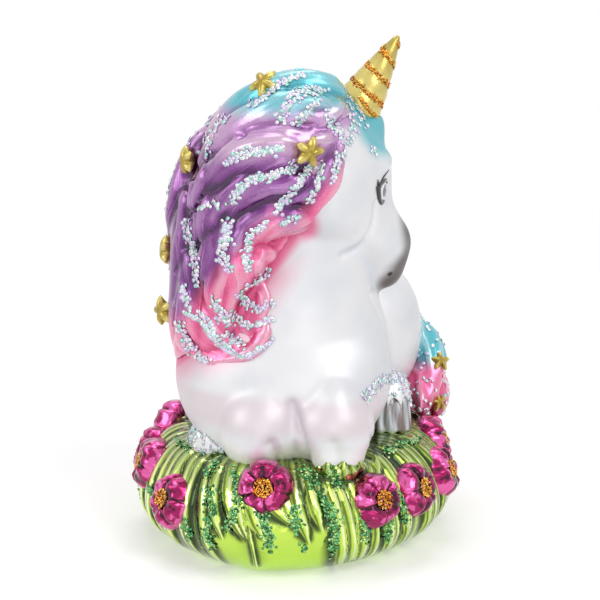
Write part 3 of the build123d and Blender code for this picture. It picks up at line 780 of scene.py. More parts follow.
class Heap:
    """Closed surfaces gathered into one mesh; it starts with the solids of some nodes."""

    def __init__(self, nodes=()):
        self.points = []
        self.faces = []
        self.tones = []
        for node in nodes:
            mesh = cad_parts[node].data
            self.add([v.co[:] for v in mesh.vertices], [p.vertices[:] for p in mesh.polygons])

    def add(self, points, faces, tone=0.0):
        """Points, faces that count them from 0, and one tone for all of them."""
        start = len(self.points)
        self.points.extend(points)
        self.faces.extend([start + corner for corner in face] for face in faces)
        self.tones.extend([tone] * len(points))

    def add_form(self, points, faces, centre, axes):
        """A form in its own frame, moved to a centre and turned to three axes."""
        axes = np.array(axes)
        self.add([tuple(centre + np.array(p) @ axes) for p in points], faces)

    def add_ball(self, centre, radii, steps=14):
        """A closed ball with its own radius along each axis."""
        points = []
        for row in range(1, steps):
            tilt = math.pi * row / steps
            for column in range(2 * steps):
                swing = math.pi * column / steps
                local = np.array((math.sin(tilt) * math.cos(swing), math.sin(tilt) * math.sin(swing),
                                  math.cos(tilt))) * radii
                points.append(tuple(np.array(centre) + local))
        self.add(points, sleeve(steps - 1, 2 * steps))

    def add_tube(self, points, normals, widths, depths, sides=10):
        """A closed tapering tube along a line, flat against the surface that it lies on."""
        points = np.array(points)
        along = unit(np.gradient(points, axis=0))
        side = unit(np.cross(along, np.array(normals)))
        up = np.cross(side, along)
        swing = np.linspace(0.0, 2 * math.pi, sides, endpoint=False)
        wide = np.cos(swing)[None, :, None] * (np.array(widths) / 2)[:, None, None]
        deep = np.sin(swing)[None, :, None] * (np.array(depths) / 2)[:, None, None]
        rings = points[:, None, :] + wide * side[:, None, :] + deep * up[:, None, :]
        self.add([tuple(p) for p in rings.reshape(-1, 3)], sleeve(len(points), sides))

    def add_flake(self, place, normal, size, rng, tilt, tone, thickness=0.07):
        """A flat six-sided flake that lies near a surface."""
        normal = Vector(normal)
        lean = Vector((rng.gauss(0, tilt), rng.gauss(0, tilt), rng.gauss(0, tilt)))
        up = (normal + lean).normalized()
        side = up.orthogonal().normalized()
        side.rotate(Quaternion(up, rng.uniform(0, math.tau)))
        across = up.cross(side)
        middle = Vector(place) + normal * (size * 0.18 + abs(lean.length) * size * 0.2)
        points = []
        for level in (-0.5, 0.5):
            for corner in range(6):
                swing = math.tau * corner / 6
                points.append(tuple(middle + up * (level * thickness * size)
                                    + side * (size / 2 * math.cos(swing))
                                    + across * (size / 2 * math.sin(swing))))
        faces = [(5, 4, 3, 2, 1, 0), (6, 7, 8, 9, 10, 11)]
        faces += [(c, (c + 1) % 6, (c + 1) % 6 + 6, c + 6) for c in range(6)]
        self.add(points, faces, tone)

    def build(self, name):
        """All that was gathered, as one object with its tones stored."""
        mesh = bpy.data.meshes.new(name)
        mesh.from_pydata([tuple(p) for p in self.points], [], [tuple(f) for f in self.faces])
        store(mesh, "tone", self.tones)
        mesh.update()
        made = bpy.data.objects.new(name, mesh)
        bpy.context.scene.collection.objects.link(made)
        return made


def coordinates(mesh):
    """The points of a mesh as rows."""
    found = np.zeros(len(mesh.vertices) * 3)
    mesh.vertices.foreach_get("co", found)
    return found.reshape(-1, 3)


def set_coordinates(mesh, rows):
    """Move the points of a mesh to these rows."""
    mesh.vertices.foreach_set("co", rows.reshape(-1))
    mesh.update()


def normals_of(mesh):
    """The normals of a mesh's points as rows."""
    found = np.zeros(len(mesh.vertices) * 3)
    mesh.vertices.foreach_get("normal", found)
    return found.reshape(-1, 3)


def relaxed(mesh, rows, rounds, share=1.0):
    """The points after each has moved so many times towards the mean of its neighbours."""
    ends = np.zeros(len(mesh.edges) * 2, np.int64)
    mesh.edges.foreach_get("vertices", ends)
    left, right = ends.reshape(-1, 2).T
    count = len(rows)
    degree = np.maximum(np.bincount(left, minlength=count) + np.bincount(right, minlength=count), 1)
    for _ in range(rounds):
        mean = np.stack([(np.bincount(left, rows[right, axis], count)
                          + np.bincount(right, rows[left, axis], count)) / degree
                         for axis in range(3)], axis=1)
        rows = rows + (mean - rows) * share
    return rows


def melt(heap, name, voxel, rounds):
    """One skin round all the surfaces of a heap, smoothed by so many rounds."""
    rough = heap.build(name + "_rough")
    remesh = rough.modifiers.new("union", "REMESH")
    remesh.mode = "VOXEL"
    remesh.voxel_size = voxel
    depsgraph = bpy.context.evaluated_depsgraph_get()
    mesh = bpy.data.meshes.new_from_object(rough.evaluated_get(depsgraph))
    bpy.data.objects.remove(rough)
    made = bpy.data.objects.new(name, mesh)
    mesh.name = name
    bpy.context.scene.collection.objects.link(made)
    set_coordinates(mesh, relaxed(mesh, coordinates(mesh), rounds, 0.5))
    return made


def mark_relief(made, rounds, depth):
    """Store how far each point stands over the form round it, as a share of a depth."""
    mesh = made.data
    rows = coordinates(mesh)
    height = np.einsum("ij,ij->i", rows - relaxed(mesh, rows, rounds), normals_of(mesh)) / depth
    store(mesh, "relief", np.clip(height, -1.5, 1.5))


def store(mesh, name, values):
    """Store one number for each point of a mesh."""
    stored = mesh.attributes.get(name) or mesh.attributes.new(name, "FLOAT", "POINT")
    stored.data.foreach_set("value", np.asarray(values, np.float32))


def mark_strands(made, strands):
    """Store how far across its nearest strand each point lies, edges at 1, and the strand's tone."""
    places, ways, tones, reaches = [], [], [], []
    for line, normals, girths, tone in strands:
        along = unit(np.gradient(line, axis=0))
        places.extend(line)
        ways.extend(unit(np.cross(along, normals)) / (girths / 2)[:, None])
        tones.extend([tone] * len(line))
        reaches.extend(girths)
    tree = KDTree(len(places))
    for index, place in enumerate(places):
        tree.insert(place, index)
    tree.balance()
    rows = coordinates(made.data)
    found = [tree.find(row)[1] for row in rows]
    gaps = rows - np.array(places)[found]
    across = np.einsum("ij,ij->i", gaps, np.array(ways)[found])
    apart = np.linalg.norm(gaps, axis=1) / np.array(reaches)[found]
    store(made.data, "across", np.clip(across, -1.6, 1.6))
    store(made.data, "strand", np.array(tones)[found])
    store(made.data, "on_blade", np.clip(2.2 - apart * 1.6, 0.0, 1.0))


def settle(made, material, nodes=()):
    """Finish a piece: smooth shading, its material, its place on the body, what it stands for."""
    mesh = made.data
    mesh.polygons.foreach_set("use_smooth", [True] * len(mesh.polygons))
    mesh.materials.clear()
    mesh.materials.append(material)
    if nodes:
        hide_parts(*nodes)
    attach(made, "root")


def tidy_normals(made):
    """Turn all faces of a closed mesh outwards."""
    work = bmesh.new()
    work.from_mesh(made.data)
    bmesh.ops.recalc_face_normals(work, faces=work.faces)
    work.to_mesh(made.data)
    work.free()


def tree_of(*objects):
    """A tree of the faces of several objects, to cast rays at."""
    points, faces = [], []
    for made in objects:
        start = len(points)
        points.extend(coordinates(made.data).tolist())
        faces.extend([start + c for c in p.vertices] for p in made.data.polygons)
    return BVHTree.FromPolygons(points, faces)


def node_tree_of(names):
    """A tree of the faces of some nodes of the frame."""
    return tree_of(*[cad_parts[name] for name in names])


def photo_ray(pixel):
    """Where the camera stands and which way it looks at a pixel of the photograph."""
    forward = (view_aim - view_place).normalized()
    right = forward.cross(Vector((0, 0, 1))).normalized()
    up = right.cross(forward)
    focal = view_lens / view_sensor * picture_size
    across = (pixel[0] - picture_size / 2) / focal
    rise = (picture_size / 2 - pixel[1]) / focal
    return view_place, (forward + right * across + up * rise).normalized()


def at_pixel(tree, pixel):
    """The place on a surface that shows at a pixel, or the nearest to its ray at the rim."""
    start, way = photo_ray(pixel)
    place, normal = tree.ray_cast(start, way)[:2]
    if place is not None:
        return place, normal
    middle = (view_aim - view_place).length
    found = [tree.find_nearest(start + way * (middle + step * 2 * MM)) for step in range(-20, 21)]
    return min(found, key=lambda hit: hit[3])[:2]


def at_turn(tree, axis, turn, level, outside=0.09, inside=0.06):
    """The place on a surface at a turn in degrees about an upright axis and a level."""
    swing = math.radians(turn)
    way = Vector((math.cos(swing), math.sin(swing), 0))
    start = Vector((axis[0], axis[1], level)) + way * outside
    place, normal = tree.ray_cast(start, -way)[:2]
    if place is None:
        place, normal = tree.find_nearest(start - way * inside)[:2]
    return place, normal


def uncovered(tree, cover, axis, spots, slack=0.4 * MM):
    """Places on a surface at turns and levels, up to where another surface covers it."""
    hits = []
    for turn, level in spots:
        place, normal = at_turn(tree, axis, turn, level)
        over, _ = at_turn(cover, axis, turn, level)
        reach = (place.xy - Vector(axis)).length
        if (over.xy - Vector(axis)).length > reach + slack:
            break
        hits.append((place, normal))
    return hits


def parted(hits):
    """The places of some hits as rows, and their normals as rows."""
    return [np.array([hit[part][:] for hit in hits]) for part in (0, 1)]


def surfaces_along(tree, pixels, count):
    """Places and normals on a surface along a smooth line of pixels."""
    return parted([at_pixel(tree, pixel) for pixel in through(pixels, count)])


def taper(count, root, tip):
    """Girths of a strand that starts at one share, swells to 1 and ends at another."""
    shares = np.linspace(0.0, 1.0, count)
    return np.interp(shares, [0.0, 0.15, 0.6, 1.0], [root, 1.0, 0.95, tip])


def crease(made, tree, depth, width, pixels, count=40):
    """Press a soft groove into a surface along a line of pixels."""
    press(made, surfaces_along(tree, pixels, count)[0], depth, width)


def press(made, line, depth, width):
    """Press a soft hollow into a surface round some places."""
    mesh = made.data
    rows = coordinates(mesh)
    low, high = line.min(0) - 3 * width, line.max(0) + 3 * width
    near = np.where(((rows > low) & (rows < high)).all(1))[0]
    gaps = np.linalg.norm(rows[near, None, :] - line[None, :, :], axis=2).min(1)
    rows[near] -= normals_of(mesh)[near] * (depth * np.exp(-(gaps / (width / 2)) ** 2))[:, None]
    set_coordinates(mesh, rows)


def band_of_flakes(heap, tree, rng, lines, size, tilt, spread=1.0, share=1.0):
    """Flakes scattered along bands of pixels."""
    for half, rate, pixels in lines:
        steps = np.linalg.norm(np.diff(np.array(pixels, float), axis=0), axis=1).sum()
        for spot in through(pixels, max(2, int(steps * rate * share))):
            pixel = (spot[0] + rng.gauss(0, half * 0.5) * spread,
                     spot[1] + rng.gauss(0, half * 0.5) * spread)
            place, normal = tree.ray_cast(*photo_ray(pixel))[:2]
            if place is not None:
                heap.add_flake(place, normal, size * rng.uniform(0.8, 1.1), rng, tilt, rng.random())


def band_by_turn(heap, tree, cover, axis, rng, route, half, count, size, tilt):
    """Flakes scattered along a route of turns and levels on the sides the photograph hides."""
    for turn, level in through(route, count):
        spot = (turn + rng.gauss(0, half * 2.2), level + rng.gauss(0, half) * MM)
        for place, normal in uncovered(tree, cover, axis, [spot]):
            heap.add_flake(place, normal, size * rng.uniform(0.8, 1.1), rng, tilt, rng.random())


# Finished pieces that later ones lie on
made_pieces = {}


class UNICORN_OT_body(bpy.types.Operator):
    """Melts torso, neck, head, forelock, haunches and forelegs into one pearl skin"""

    bl_idname = "unicorn.body"
    bl_label = "Body"

    def execute(self, context):
        sizes = context.scene.unicorn_sizes
        colours = context.scene.unicorn_colours
        bare = node_tree_of(body_nodes)
        heap = Heap(body_nodes)
        for pixel, radii, proud in body_bulges:
            place, normal = at_pixel(bare, pixel)
            reach = min(radii) * MM
            heap.add_ball(place - normal * (reach - proud * MM), np.array(radii) * MM)
        body = melt(heap, "pearl_body", sizes.body_voxel, rounds=26)
        tree = tree_of(body)
        for depth, width, pixels in body_creases:
            crease(body, tree, depth * MM, width * MM, pixels)
        for node in ("eye_left", "eye_right"):
            centre = coordinates(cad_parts[node].data).mean(0)
            press(body, centre[None, :], sizes.socket_depth, sizes.socket_width)
        mark_relief(body, rounds=60, depth=1.2 * MM)
        hair = node_tree_of(mane_nodes)
        gaps = [hair.find_nearest(Vector(row))[3] / MM for row in coordinates(body.data)]
        store(body.data, "near_hair", gaps)
        made_pieces["body"] = body
        settle(body, pearl_finish(colours, tree_of(body)), body_nodes)
        return {"FINISHED"}


class UNICORN_OT_mane(bpy.types.Operator):
    """Lays tapering strands over the bulk of the hair and melts them together"""

    bl_idname = "unicorn.mane"
    bl_label = "Mane"

    def execute(self, context):
        sizes = context.scene.unicorn_sizes
        colours = context.scene.unicorn_colours
        tree = node_tree_of(mane_nodes + body_nodes)
        bulk = node_tree_of(mane_nodes)
        form = tree_of(made_pieces["body"])
        rng = random.Random(11)
        heap = Heap(mane_nodes)
        strands = []

        def lay(hits, width, depth_share):
            """One strand on the surface, kept for its marks."""
            places, normals = parted(hits)
            girths = taper(len(hits), root=0.35, tip=0.3) * width
            heap.add_tube(places - normals * sizes.strand_sink, normals, girths, girths * depth_share)
            strands.append((places, normals, girths, rng.random()))

        count = 40
        for pixels in strand_pixels:
            line = through(pixels, count)
            width = sizes.strand_width * rng.uniform(0.85, 1.1)
            lay([at_pixel(tree, pixel) for pixel in line], width, depth_share=0.95)
            steps = np.gradient(line, axis=0)
            sideways = unit(np.stack((-steps[:, 1], steps[:, 0]), axis=1))
            for offset in fine_offsets:
                phase = np.linspace(0, 2.6 * math.pi, count) + rng.uniform(0, 6)
                curl = offset + fine_curl * np.sin(phase)
                fine = (line + sideways * curl[:, None])[3:-3]
                lay([at_pixel(tree, pixel) for pixel in fine], sizes.strand_width * 0.5,
                    depth_share=1.5)
        for turn in hidden_turns:
            sway = rng.uniform(4, 7)
            turns = (turn + 4, turn - sway, turn + sway, turn - sway, turn + sway * 0.6, turn)
            line = through(list(zip(turns, hidden_levels)), count)
            for offset, share, depth_share in ((0.0, 1.15, 0.95), (-4.0, 0.5, 1.5), (4.0, 0.5, 1.5)):
                hits = uncovered(bulk, form, mane_middle, line + np.array((offset, 0.0)))
                if len(hits) > 8:
                    lay(hits, sizes.strand_width * share, depth_share)
        mane = melt(heap, "mane_hair", sizes.hair_voxel, rounds=5)
        mark_relief(mane, rounds=40, depth=0.6 * MM)
        mark_strands(mane, strands)
        made_pieces["mane"] = mane
        settle(mane, hair_finish(colours), mane_nodes)
        return {"FINISHED"}


class UNICORN_OT_tail(bpy.types.Operator):
    """Melts the locks of the tail together, with finer strands laid along them"""

    bl_idname = "unicorn.tail"
    bl_label = "Tail"

    def execute(self, context):
        sizes = context.scene.unicorn_sizes
        colours = context.scene.unicorn_colours
        heap = Heap(tail_nodes)
        count = 16
        for name in tail_nodes:
            rows = coordinates(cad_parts[name].data)
            middle = rows.mean(0)
            share = (rows - middle) @ np.linalg.svd(rows - middle)[2][0]
            for turn in range(0, 360, 60):
                swing = math.radians(turn)
                outward = np.array((math.cos(swing), math.sin(swing), 0.3))
                line = self.ridge(rows, share, outward)
                if len(line) > 3:
                    girths = taper(count, root=0.3, tip=0.3) * sizes.strand_width * 0.7
                    heap.add_tube(through(line, count), np.tile(outward, (count, 1)), girths,
                                  girths * 0.7)
        tail = melt(heap, "tail_hair", sizes.hair_voxel * 0.8, rounds=8)
        mark_relief(tail, rounds=30, depth=0.6 * MM)
        made_pieces["tail"] = tail
        settle(tail, tail_finish(colours), tail_nodes)
        return {"FINISHED"}

    def ridge(self, rows, share, outward, count=7, slab=2.5 * MM, apart=0.3 * MM):
        """Places along one side of a lock, from one end to the other."""
        line = []
        for low in np.linspace(share.min() * 0.8, share.max() * 0.8, count):
            near = rows[np.abs(share - low) < slab]
            if len(near):
                spot = near[np.argmax(near @ outward)]
                if not line or np.linalg.norm(spot - line[-1]) > apart:
                    line.append(spot)
        return line


class HornAxis:
    """The line that the horn winds round."""

    def __init__(self):
        facing = np.array((math.cos(face_turn), math.sin(face_turn), 0.0))
        self.way = np.array((0.0, 0.0, math.cos(horn_lean))) + facing * math.sin(horn_lean)
        root = np.array((head_middle[0], head_middle[1], horn_level)) + facing * horn_forward
        self.foot = root - self.way * horn_sink
        rows = coordinates(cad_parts["horn"].data)
        self.reach = ((rows - self.foot) @ self.way).max()
        self.side = unit(np.cross(self.way, (0.0, 0.0, 1.0)))
        self.front = np.cross(self.way, self.side)

    def level(self, rise):
        """The place on the line at a share of its length."""
        return self.foot + self.way * (self.reach * rise)

    def outward(self, share):
        """The way out of the line at a share of a full turn."""
        return self.side * math.cos(math.tau * share) + self.front * math.sin(math.tau * share)


def horn_form(line, rings=120, sides=72):
    """Points and faces of the horn, swollen between the turns of its groove."""
    points = []
    for ring in range(rings + 1):
        rise = ring / rings
        width = np.interp(rise, horn_shares, horn_radii) * MM
        for corner in range(sides):
            phase = (rise * horn_turns + corner / sides) % 1.0
            swell = 1.0 + horn_swell * (abs(math.sin(math.pi * phase)) ** 0.55 - 0.7)
            points.append(tuple(line.level(rise) + line.outward(corner / sides) * width * swell))
    return points, sleeve(rings + 1, sides)


class UNICORN_OT_horn(bpy.types.Operator):
    """Winds the horn: a tapering cone with one groove round it and orange-gold flakes in the groove"""

    bl_idname = "unicorn.horn"
    bl_label = "Horn"

    def execute(self, context):
        sizes = context.scene.unicorn_sizes
        colours = context.scene.unicorn_colours
        line = HornAxis()
        heap = Heap()
        heap.add(*horn_form(line))
        horn = heap.build("winding_horn")
        mark_relief(horn, rounds=30, depth=0.35 * MM)
        made_pieces["horn"] = horn
        settle(horn, gold_finish(colours), ["horn"])
        rng = random.Random(5)
        glints = Heap()
        tree = tree_of(horn)
        for _ in range(horn_flakes):
            rise = rng.uniform(0.02, 0.93)
            way = line.outward((-rise * horn_turns) % 1.0 + rng.gauss(0, 0.05))
            level = line.level(rise + rng.gauss(0, 0.009))
            place, normal = tree.ray_cast(Vector(level + way * 7 * MM), Vector(-way))[:2]
            if place is not None:
                glints.add_flake(place, normal, sizes.gold_flake * rng.uniform(0.8, 1.2), rng,
                                 tilt=0.4, tone=rng.random())
        seat = tree_of(horn, made_pieces["body"])
        band_of_flakes(glints, seat, rng, horn_root_line, sizes.gold_flake, tilt=0.4)
        settle(glints.build("horn_glitter"), gold_flake_finish(colours))
        return {"FINISHED"}


class EyeSeat:
    """Where an eye lies on the head, and which way its nose side is."""

    def __init__(self, node, side, tree, sizes):
        self.tree = tree
        self.sizes = sizes
        head = coordinates(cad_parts["head"].data)
        centre = coordinates(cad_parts[node].data).mean(0)
        slab = head[np.abs(head[:, 2] - centre[2]) < 3 * MM].mean(0)
        self.outward = unit(np.array((centre[0] - slab[0], centre[1] - slab[1], 0.0)))
        self.nose_way = np.cross((0.0, 0.0, 1.0), self.outward) * -side
        self.centre = centre - self.nose_way * sizes.eye_shift

    def spot(self, across, rise, lift):
        """A place on the face near the eye, lifted off it, and the face's normal."""
        before = 6 * MM
        start = (self.centre + self.outward * before
                 + self.nose_way * (across * self.sizes.eye_half_width)
                 + np.array((0, 0, rise * self.sizes.eye_half_height)))
        place, normal = self.tree.ray_cast(Vector(start), Vector(-self.outward))[:2]
        if place is None:
            place, normal = self.tree.find_nearest(Vector(start))[:2]
        return np.array(place) + np.array(normal) * lift, np.array(normal)


def eye_form(seat, crest, rings=12, corners=48, edge_sink=0.12 * MM, back=-0.5 * MM, lower=0.92):
    """Points and faces of an eye's dome on its seat, and each point's place in the eye."""
    points, marks = [seat.spot(0, 0, crest)[0]], [(0.0, 0.0)]
    for reach, corner in dome_places(rings, corners):
        swing = math.tau * corner / corners
        across = reach * math.cos(swing)
        rise = reach * math.sin(swing) * (1.0 if math.sin(swing) > 0 else lower)
        lift = crest * (1 - reach * reach) - edge_sink * reach ** 6
        points.append(seat.spot(across, rise, lift)[0])
        marks.append((across, rise))
    for corner in range(corners):
        swing = math.tau * corner / corners
        points.append(seat.spot(math.cos(swing) * 0.97, math.sin(swing) * lower, back)[0])
        marks.append((math.cos(swing), math.sin(swing)))
    return [tuple(p) for p in points], dome(rings, corners), marks


class UNICORN_OT_face(bpy.types.Operator):
    """Paints both eyes with their lids and lashes"""

    bl_idname = "unicorn.face"
    bl_label = "Face"

    def execute(self, context):
        sizes = context.scene.unicorn_sizes
        colours = context.scene.unicorn_colours
        tree = tree_of(made_pieces["body"])
        paint_eye = eye_finish(colours)
        black = plain_finish("lash_enamel", colours.enamel, metallic=0.0, roughness=0.25)
        for side_name, side in (("left", 1), ("right", -1)):
            node = f"eye_{side_name}"
            seat = EyeSeat(node, side, tree, sizes)
            points, faces, marks = eye_form(seat, sizes.eye_dome)
            heap = Heap()
            heap.add(points, faces)
            eye = heap.build(f"painted_eye_{side_name}")
            for label, values in zip(("eye_across", "eye_rise"), zip(*marks)):
                store(eye.data, label, values)
            tidy_normals(eye)
            settle(eye, paint_eye, [node])
            strokes = Heap()
            count, lift = 18, 0.12 * MM
            for route, share in eye_strokes:
                places, normals = parted([seat.spot(*place, lift) for place in through(route, count)])
                girths = np.interp(np.linspace(0, 1, count), [0, 0.4, 1], [1.0, 0.9, 0.3])
                girths = girths * sizes.lash_width * share
                strokes.add_tube(places, normals, girths, girths * 0.55)
            lines = strokes.build(f"lashes_{side_name}")
            tidy_normals(lines)
            settle(lines, black)
        return {"FINISHED"}


class UNICORN_OT_hooves(bpy.types.Operator):
    """Shapes the fluted hooves and the tufts of hair above them"""

    bl_idname = "unicorn.hooves"
    bl_label = "Hooves and feathers"

    def execute(self, context):
        sizes = context.scene.unicorn_sizes
        colours = context.scene.unicorn_colours
        grey = hoof_finish(colours)
        voxel = 0.4 * MM
        for side_name in ("left", "right"):
            node = f"hind_hoof_{side_name}"
            hoof = melt(Heap([node]), f"hoof_{side_name}", voxel, rounds=10)
            rows = coordinates(hoof.data)
            low, high = rows.min(0), rows.max(0)
            middle = (low + high) / 2
            swing = np.arctan2(rows[:, 1] - middle[1], rows[:, 0] - middle[0])
            wave = np.cos(swing * hoof_flutes + np.sin(rows[:, 2] / MM * 0.5) * 0.8)
            rows += normals_of(hoof.data) * wave[:, None] * sizes.flute_depth
            set_coordinates(hoof.data, rows)
            mark_relief(hoof, rounds=20, depth=0.35 * MM)
            made_pieces[node] = hoof
            settle(hoof, grey, [node])
        pearl = plain_finish("feather_pearl", colours.pearl, metallic=0.25, roughness=0.3)
        for node in feather_nodes:
            tuft = melt(Heap([node]), node.replace("feather", "tuft"), voxel, rounds=5)
            made_pieces[node] = tuft
            settle(tuft, pearl, [node])
        return {"FINISHED"}


class UNICORN_OT_grass(bpy.types.Operator):
    """Lays leaning blades over the rim of the cushion and melts them into it"""

    bl_idname = "unicorn.grass"
    bl_label = "Grass cushion"

    def execute(self, context):
        sizes = context.scene.unicorn_sizes
        colours = context.scene.unicorn_colours
        tree = node_tree_of(["grass_base"])
        high = np.array(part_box("grass_base")[1])
        rng = random.Random(3)
        heap = Heap(["grass_base"])
        strands = []

        def lay(places, normals, girths, sink=0.0, depth_share=1.0):
            """One blade on the surface, kept for its marks."""
            heap.add_tube(places - normals * sink, normals, girths, girths * depth_share)
            strands.append((places, normals, girths, rng.random()))

        count = 44
        for number in range(sizes.blade_count):
            turn = 360 * number / sizes.blade_count + rng.uniform(-1.2, 1.2)
            lean = rng.uniform(*blade_leans)
            end = rng.uniform(*blade_ends)
            if short_turns[0] < turn < short_turns[1]:
                end = rng.uniform(*short_ends)
            places, normals = self.blade(tree, high, turn, lean, end, count)
            width = sizes.blade_width * rng.uniform(0.75, 1.25)
            girths = np.interp(np.linspace(0, 1, count), [0, 0.25, 0.6, 0.9, 1],
                               [0.5, 0.9, 1, 0.9, 0.4])
            lay(places, normals, girths * width, sink=0.35 * MM, depth_share=0.9)
        seat = tree_of(made_pieces["body"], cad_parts["grass_base"])
        count = 24
        girths = np.interp(np.linspace(0, 1, count), [0, 0.3, 1], [0.3, 1.0, 0.6])
        for across, rise in standing_tips:
            route = [(across, rise), (across + 1, rise + 12), (across + 4, rise + 28)]
            lay(*surfaces_along(seat, route, count), girths * sizes.blade_width, depth_share=0.7)
        girths = np.interp(np.linspace(0, 1, count), [0, 0.2, 1], [0.3, 1.0, 1.0])
        lay(*surfaces_along(tree, seam_pixels, count), girths * seam_width)
        grass = melt(heap, "grass_cushion", sizes.grass_voxel, rounds=5)
        rows = coordinates(grass.data)
        rows[:, 2] = np.maximum(rows[:, 2], 0.0)
        set_coordinates(grass.data, rows)
        mark_relief(grass, rounds=30, depth=0.55 * MM)
        mark_strands(grass, strands)
        made_pieces["grass"] = grass
        settle(grass, grass_finish(colours), ["grass_base", "grass_blades"])
        return {"FINISHED"}

    def blade(self, tree, high, turn, lean, end, count):
        """Places and normals along a blade that leans over the rim, down to a share of the height."""
        swing = math.radians(turn)
        far = np.array((math.cos(swing) * high[0], math.sin(swing) * high[1], 0.0))
        hits = [(far * blade_start + np.array((0, 0, high[2])), np.array((0.0, 0.0, 1.0)))]
        for share, level in ((0.25, 0.93), (0.5, 0.75), (0.8, 0.3 + end * 0.6), (1.0, end)):
            hits.append(at_turn(tree, (0, 0), turn + lean * share, high[2] * level))
        places, normals = [through(rows, count) for rows in parted(hits)]
        return places, unit(normals)


# Rise of a petal from a flower's heart to its edge: shares of its reach, shares of its height
petal_rise = ([0, 0.18, 0.42, 0.62, 0.80, 0.92, 1.0], [0.62, 0.74, 1.0, 1.02, 0.72, 0.2, -0.5])
# Between two petals: width of the notch as a share of a petal, and its depth; depth of the folds
notch_width = 0.08
notch_depth = 0.045
fold_depth = 0.1


def petal_form(rng, sizes, rings=22, corners=110, petals=5):
    """Points and faces of one flower in its own frame, five cupped petals round a hollow."""
    start = rng.uniform(0, math.tau)
    sway = [rng.uniform(-0.12, 0.12) for _ in range(petals)]
    folds = [rng.uniform(0, math.tau) for _ in range(petals)]
    points = [(0.0, 0.0, 0.9 * MM)]
    for share, corner in dome_places(rings, corners):
        swing = math.tau * corner / corners
        place = corner / corners * petals
        petal = int(place) % petals
        local = place - int(place)
        edge = min(local, 1 - local)
        notch = math.exp(-(edge / notch_width) ** 2)
        reach = sizes.petal_reach * (1 - notch_depth * notch + sway[petal] * 0.3 * (1 - notch))
        profile = np.interp(share, petal_rise[0], petal_rise[1])
        fold = fold_depth * math.sin(local * 9 + folds[petal] + share * 3.0) * share ** 1.2
        overlap = 0.4 * (local - 0.5) * share
        height = sizes.petal_height * (profile + fold + overlap * 0.8 - 0.1 * notch * share)
        points.append((reach * share * math.cos(swing + start),
                       reach * share * math.sin(swing + start), height))
    for corner in range(corners):
        swing = math.tau * corner / corners + start
        points.append((sizes.petal_reach * 0.8 * math.cos(swing),
                       sizes.petal_reach * 0.8 * math.sin(swing), -sizes.petal_height))
    return points, dome(rings, corners)


class UNICORN_OT_flowers(bpy.types.Operator):
    """Sets the flowers round the cushion, each with a heart of orange-gold flakes"""

    bl_idname = "unicorn.flowers"
    bl_label = "Flowers"

    def execute(self, context):
        sizes = context.scene.unicorn_sizes
        colours = context.scene.unicorn_colours
        petals = petal_finish(colours)
        hearts = Heap()
        rng = random.Random(21)
        for node in flower_nodes:
            low, high = [np.array(corner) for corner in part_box(node)]
            middle = (low + high) / 2
            rows = coordinates(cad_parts[node].data)
            outward = np.array((middle[0] / 1.45, middle[1], 0.0))
            outward = unit(unit(outward) + np.array((0, 0, flower_lift)))
            side = unit(np.cross((0.0, 0.0, 1.0), outward))
            up = np.cross(outward, side)
            front = (rows @ outward).max()
            centre = rows.mean(0)
            centre = centre + outward * (front - centre @ outward - sizes.petal_height * 0.95)
            axes = np.array((side, up, outward))
            heap = Heap()
            heap.add_form(*petal_form(rng, sizes), centre, axes)
            flower = heap.build(node.replace("flower", "blossom"))
            tidy_normals(flower)
            mark_relief(flower, rounds=14, depth=0.35 * MM)
            settle(flower, petals, [node])
            for _ in range(heart_flakes):
                share = math.sqrt(rng.random())
                reach = sizes.heart_reach * share
                swing = rng.uniform(0, math.tau)
                rise = np.interp(reach / sizes.petal_reach, petal_rise[0], petal_rise[1])
                local = np.array((reach * math.cos(swing), reach * math.sin(swing),
                                  sizes.petal_height * (rise + 0.22 - 0.15 * share)))
                hearts.add_flake(centre + local @ axes, outward, sizes.gold_flake * 1.1, rng,
                                 tilt=0.5, tone=rng.random())
        pollen = hearts.build("flower_pollen")
        settle(pollen, gold_flake_finish(colours), ["flower_hearts"])
        return {"FINISHED"}


def islands(mesh, grain=0.002 * MM):
    """The loose pieces of a mesh, each as rows of points; points in one grain count as one."""
    rows = coordinates(mesh)
    cells = [tuple(cell) for cell in np.round(rows / grain).astype(int)]
    first_in = {}
    for index, cell in enumerate(cells):
        first_in.setdefault(cell, index)
    root = list(range(len(rows)))

    def top(index):
        """The point that stands for all of its piece."""
        while root[index] != index:
            root[index] = root[root[index]]
            index = root[index]
        return index

    for index, cell in enumerate(cells):
        root[top(index)] = top(first_in[cell])
    for polygon in mesh.polygons:
        first = polygon.vertices[0]
        for other in polygon.vertices[1:]:
            root[top(other)] = top(first)
    groups = {}
    for index in range(len(rows)):
        groups.setdefault(top(index), []).append(index)
    return [rows[group] for group in groups.values()]


def star_form(size, sizes, rings=14, corners=100, arms=5):
    """Points and faces of one puffed star in its own frame, with round arms."""
    points = [(0.0, 0.0, sizes.star_height)]
    for share, corner in dome_places(rings, corners):
        swing = math.tau * corner / corners
        arm = 0.5 + 0.5 * math.cos(arms * swing)
        reach = size * (sizes.star_waist + (1 - sizes.star_waist) * arm)
        height = sizes.star_height * (1 - share ** 3.6) * (0.9 + 0.1 * arm)
        points.append((reach * share * math.cos(swing), reach * share * math.sin(swing),
                       height - 0.2 * MM * share))
    for corner in range(corners):
        swing = math.tau * corner / corners
        points.append((size / 2 * math.cos(swing), size / 2 * math.sin(swing), -1.4 * MM))
    return points, dome(rings, corners)


